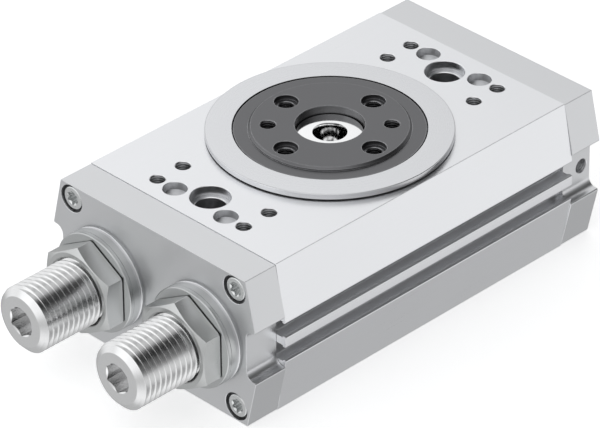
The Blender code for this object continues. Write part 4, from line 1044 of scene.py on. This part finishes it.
def build_floor():
    """A pale floor; the metal reflects the studio's cards below it instead of the floor itself."""
    floor_size = 6.0
    bpy.ops.mesh.primitive_grid_add(x_subdivisions=2, y_subdivisions=2, size=floor_size, location=(0, 0, 0))
    floor = bpy.context.object
    floor.name = "floor"
    floor.visible_glossy = False
    material = bpy.data.materials.new("pale floor")
    material.use_nodes = True
    shader = material.node_tree.nodes["Principled BSDF"]
    shader.inputs["Base Color"].default_value = (0.95, 0.95, 0.95, 1)
    shader.inputs["Roughness"].default_value = 0.9
    shader.inputs["Specular IOR Level"].default_value = 0.1
    shader.inputs["Emission Color"].default_value = (1, 1, 1, 1)
    shader.inputs["Emission Strength"].default_value = 0.5
    floor.data.materials.append(material)


def area_light(name, place, target, size, power):
    """A square softbox of that size in metres and power in watts, facing the target."""
    data = bpy.data.lights.new(name, "AREA")
    data.shape = "RECTANGLE"
    data.size = size
    data.size_y = size
    data.energy = power
    light = bpy.data.objects.new(name, data)
    bpy.context.scene.collection.objects.link(light)
    light.location = place
    light.rotation_euler = (Vector(target) - Vector(place)).to_track_quat("-Z", "Y").to_euler()


def soft_card(tree, ray, direction, outer, inner, strength):
    """Radiance of a soft round card: none beyond outer degrees from its direction, full within inner."""
    dot = tree.nodes.new("ShaderNodeVectorMath")
    dot.operation = "DOT_PRODUCT"
    tree.links.new(ray, dot.inputs[0])
    dot.inputs[1].default_value = Vector(direction).normalized()
    fade = tree.nodes.new("ShaderNodeMapRange")
    fade.interpolation_type = "SMOOTHSTEP"
    fade.inputs["From Min"].default_value = math.cos(math.radians(outer))
    fade.inputs["From Max"].default_value = math.cos(math.radians(inner))
    fade.inputs["To Max"].default_value = strength
    tree.links.new(dot.outputs["Value"], fade.inputs["Value"])
    return fade.outputs[0]


# Soft cards of the studio: direction, outer and inner half angles in degrees, radiance.  The negative ones
# are flags that keep the upper right dark, so that threads, slots and the nuts' upper flats read.
CARDS = {
    "behind": ((0.59, 0.60, 0.54), 26, 4, 0.16),
    "behind left": ((0.40, 0.72, 0.57), 22, 5, 0.48),
    "behind high": ((0.60, 0.20, 0.77), 24, 6, 0.53),
    "far left": ((-0.35, 0.90, 0.25), 40, 10, 0.51),
    "high left": ((-0.72, 0.45, 0.50), 32, 8, 0.43),
    "left": ((-0.95, 0.25, 0.15), 32, 8, 0.47),
    "near left": ((-0.90, -0.35, 0.25), 50, 15, 0.21),
    "overhead": ((-0.35, -0.25, 0.90), 35, 15, 0.30),
    "low right": ((0.59, -0.76, -0.27), 26, 5, 0.50),
    "low far right": ((0.90, -0.30, -0.30), 30, 8, 0.25),
    "low left": ((-0.59, 0.60, -0.54), 45, 15, 0.09),
    "below": ((-0.45, -0.45, -0.77), 45, 10, 0.75),
    "right flag": ((0.57, -0.55, 0.60), 40, 12, -0.35),
    "high right flag": ((0.59, -0.17, 0.79), 35, 10, -0.20),
}
STUDIO_LEVEL = 0.5
DARKEST = 0.02


def build_world():
    """A grey studio, its soft cards added up in the world's strength."""
    world = bpy.data.worlds.new("studio")
    bpy.context.scene.world = world
    world.use_nodes = True
    tree = world.node_tree
    ray = tree.nodes.new("ShaderNodeTexCoord").outputs["Generated"]
    total = tree.nodes.new("ShaderNodeValue").outputs[0]
    total.default_value = STUDIO_LEVEL
    for card in CARDS.values():
        add = tree.nodes.new("ShaderNodeMath")
        add.operation = "ADD"
        tree.links.new(total, add.inputs[0])
        tree.links.new(soft_card(tree, ray, *card), add.inputs[1])
        total = add.outputs[0]
    positive = tree.nodes.new("ShaderNodeMath")
    positive.operation = "MAXIMUM"
    positive.inputs[1].default_value = DARKEST
    tree.links.new(total, positive.inputs[0])
    background = tree.nodes["Background"]
    background.inputs["Color"].default_value = (0.985, 0.992, 1.0, 1)
    tree.links.new(positive.outputs[0], background.inputs["Strength"])


def build_lights():
    build_world()
    area_light("overhead softbox", (-0.6, -0.43, 1.53), AXIS_FOOT, 1.5, 1.6)


def build_camera():
    """A long lens, aimed along the diagonal of the body's plan and about 33 degrees down."""
    azimuth = math.radians(45.37)
    elevation = math.radians(32.95)
    roll = math.radians(-0.48)
    distance = 1351.9 * MM
    back = Vector((-math.cos(elevation) * math.cos(azimuth), -math.cos(elevation) * math.sin(azimuth),
                   math.sin(elevation)))
    right = (-back).cross(Vector((0, 0, 1))).normalized()
    up = right.cross(-back)
    turned_right = right * math.cos(roll) + up * math.sin(roll)
    turned_up = up * math.cos(roll) - right * math.sin(roll)
    data = bpy.data.cameras.new("camera")
    data.sensor_width = 36.0
    data.lens = 286.0
    data.clip_start = 0.05
    camera = bpy.data.objects.new("camera", data)
    bpy.context.scene.collection.objects.link(camera)
    axes = Matrix((turned_right, turned_up, back)).transposed().to_4x4()
    place = back * distance + turned_right * -8.66 * MM + turned_up * 17.4 * MM
    camera.matrix_world = Matrix.Translation(AXIS_FOOT + place) @ axes
    bpy.context.scene.camera = camera


def set_colour_management():
    settings = bpy.context.scene.view_settings
    settings.view_transform = "Standard"
    settings.look = "None"
    settings.exposure = 0.0
    settings.gamma = 1.0


for stop_side in SIDES:
    MATERIALS["turned_steel_" + stop_side] = stop_material(stop_side)
build_housing()
for cap_end in ENDS:
    build_cap(cap_end)
build_cap_screws()
build_cover_ring()
build_flange()
build_shaft()
build_lower_bearing()
build_stops()
finish_cad_nodes()
build_floor()
build_lights()
build_camera()
set_colour_management()
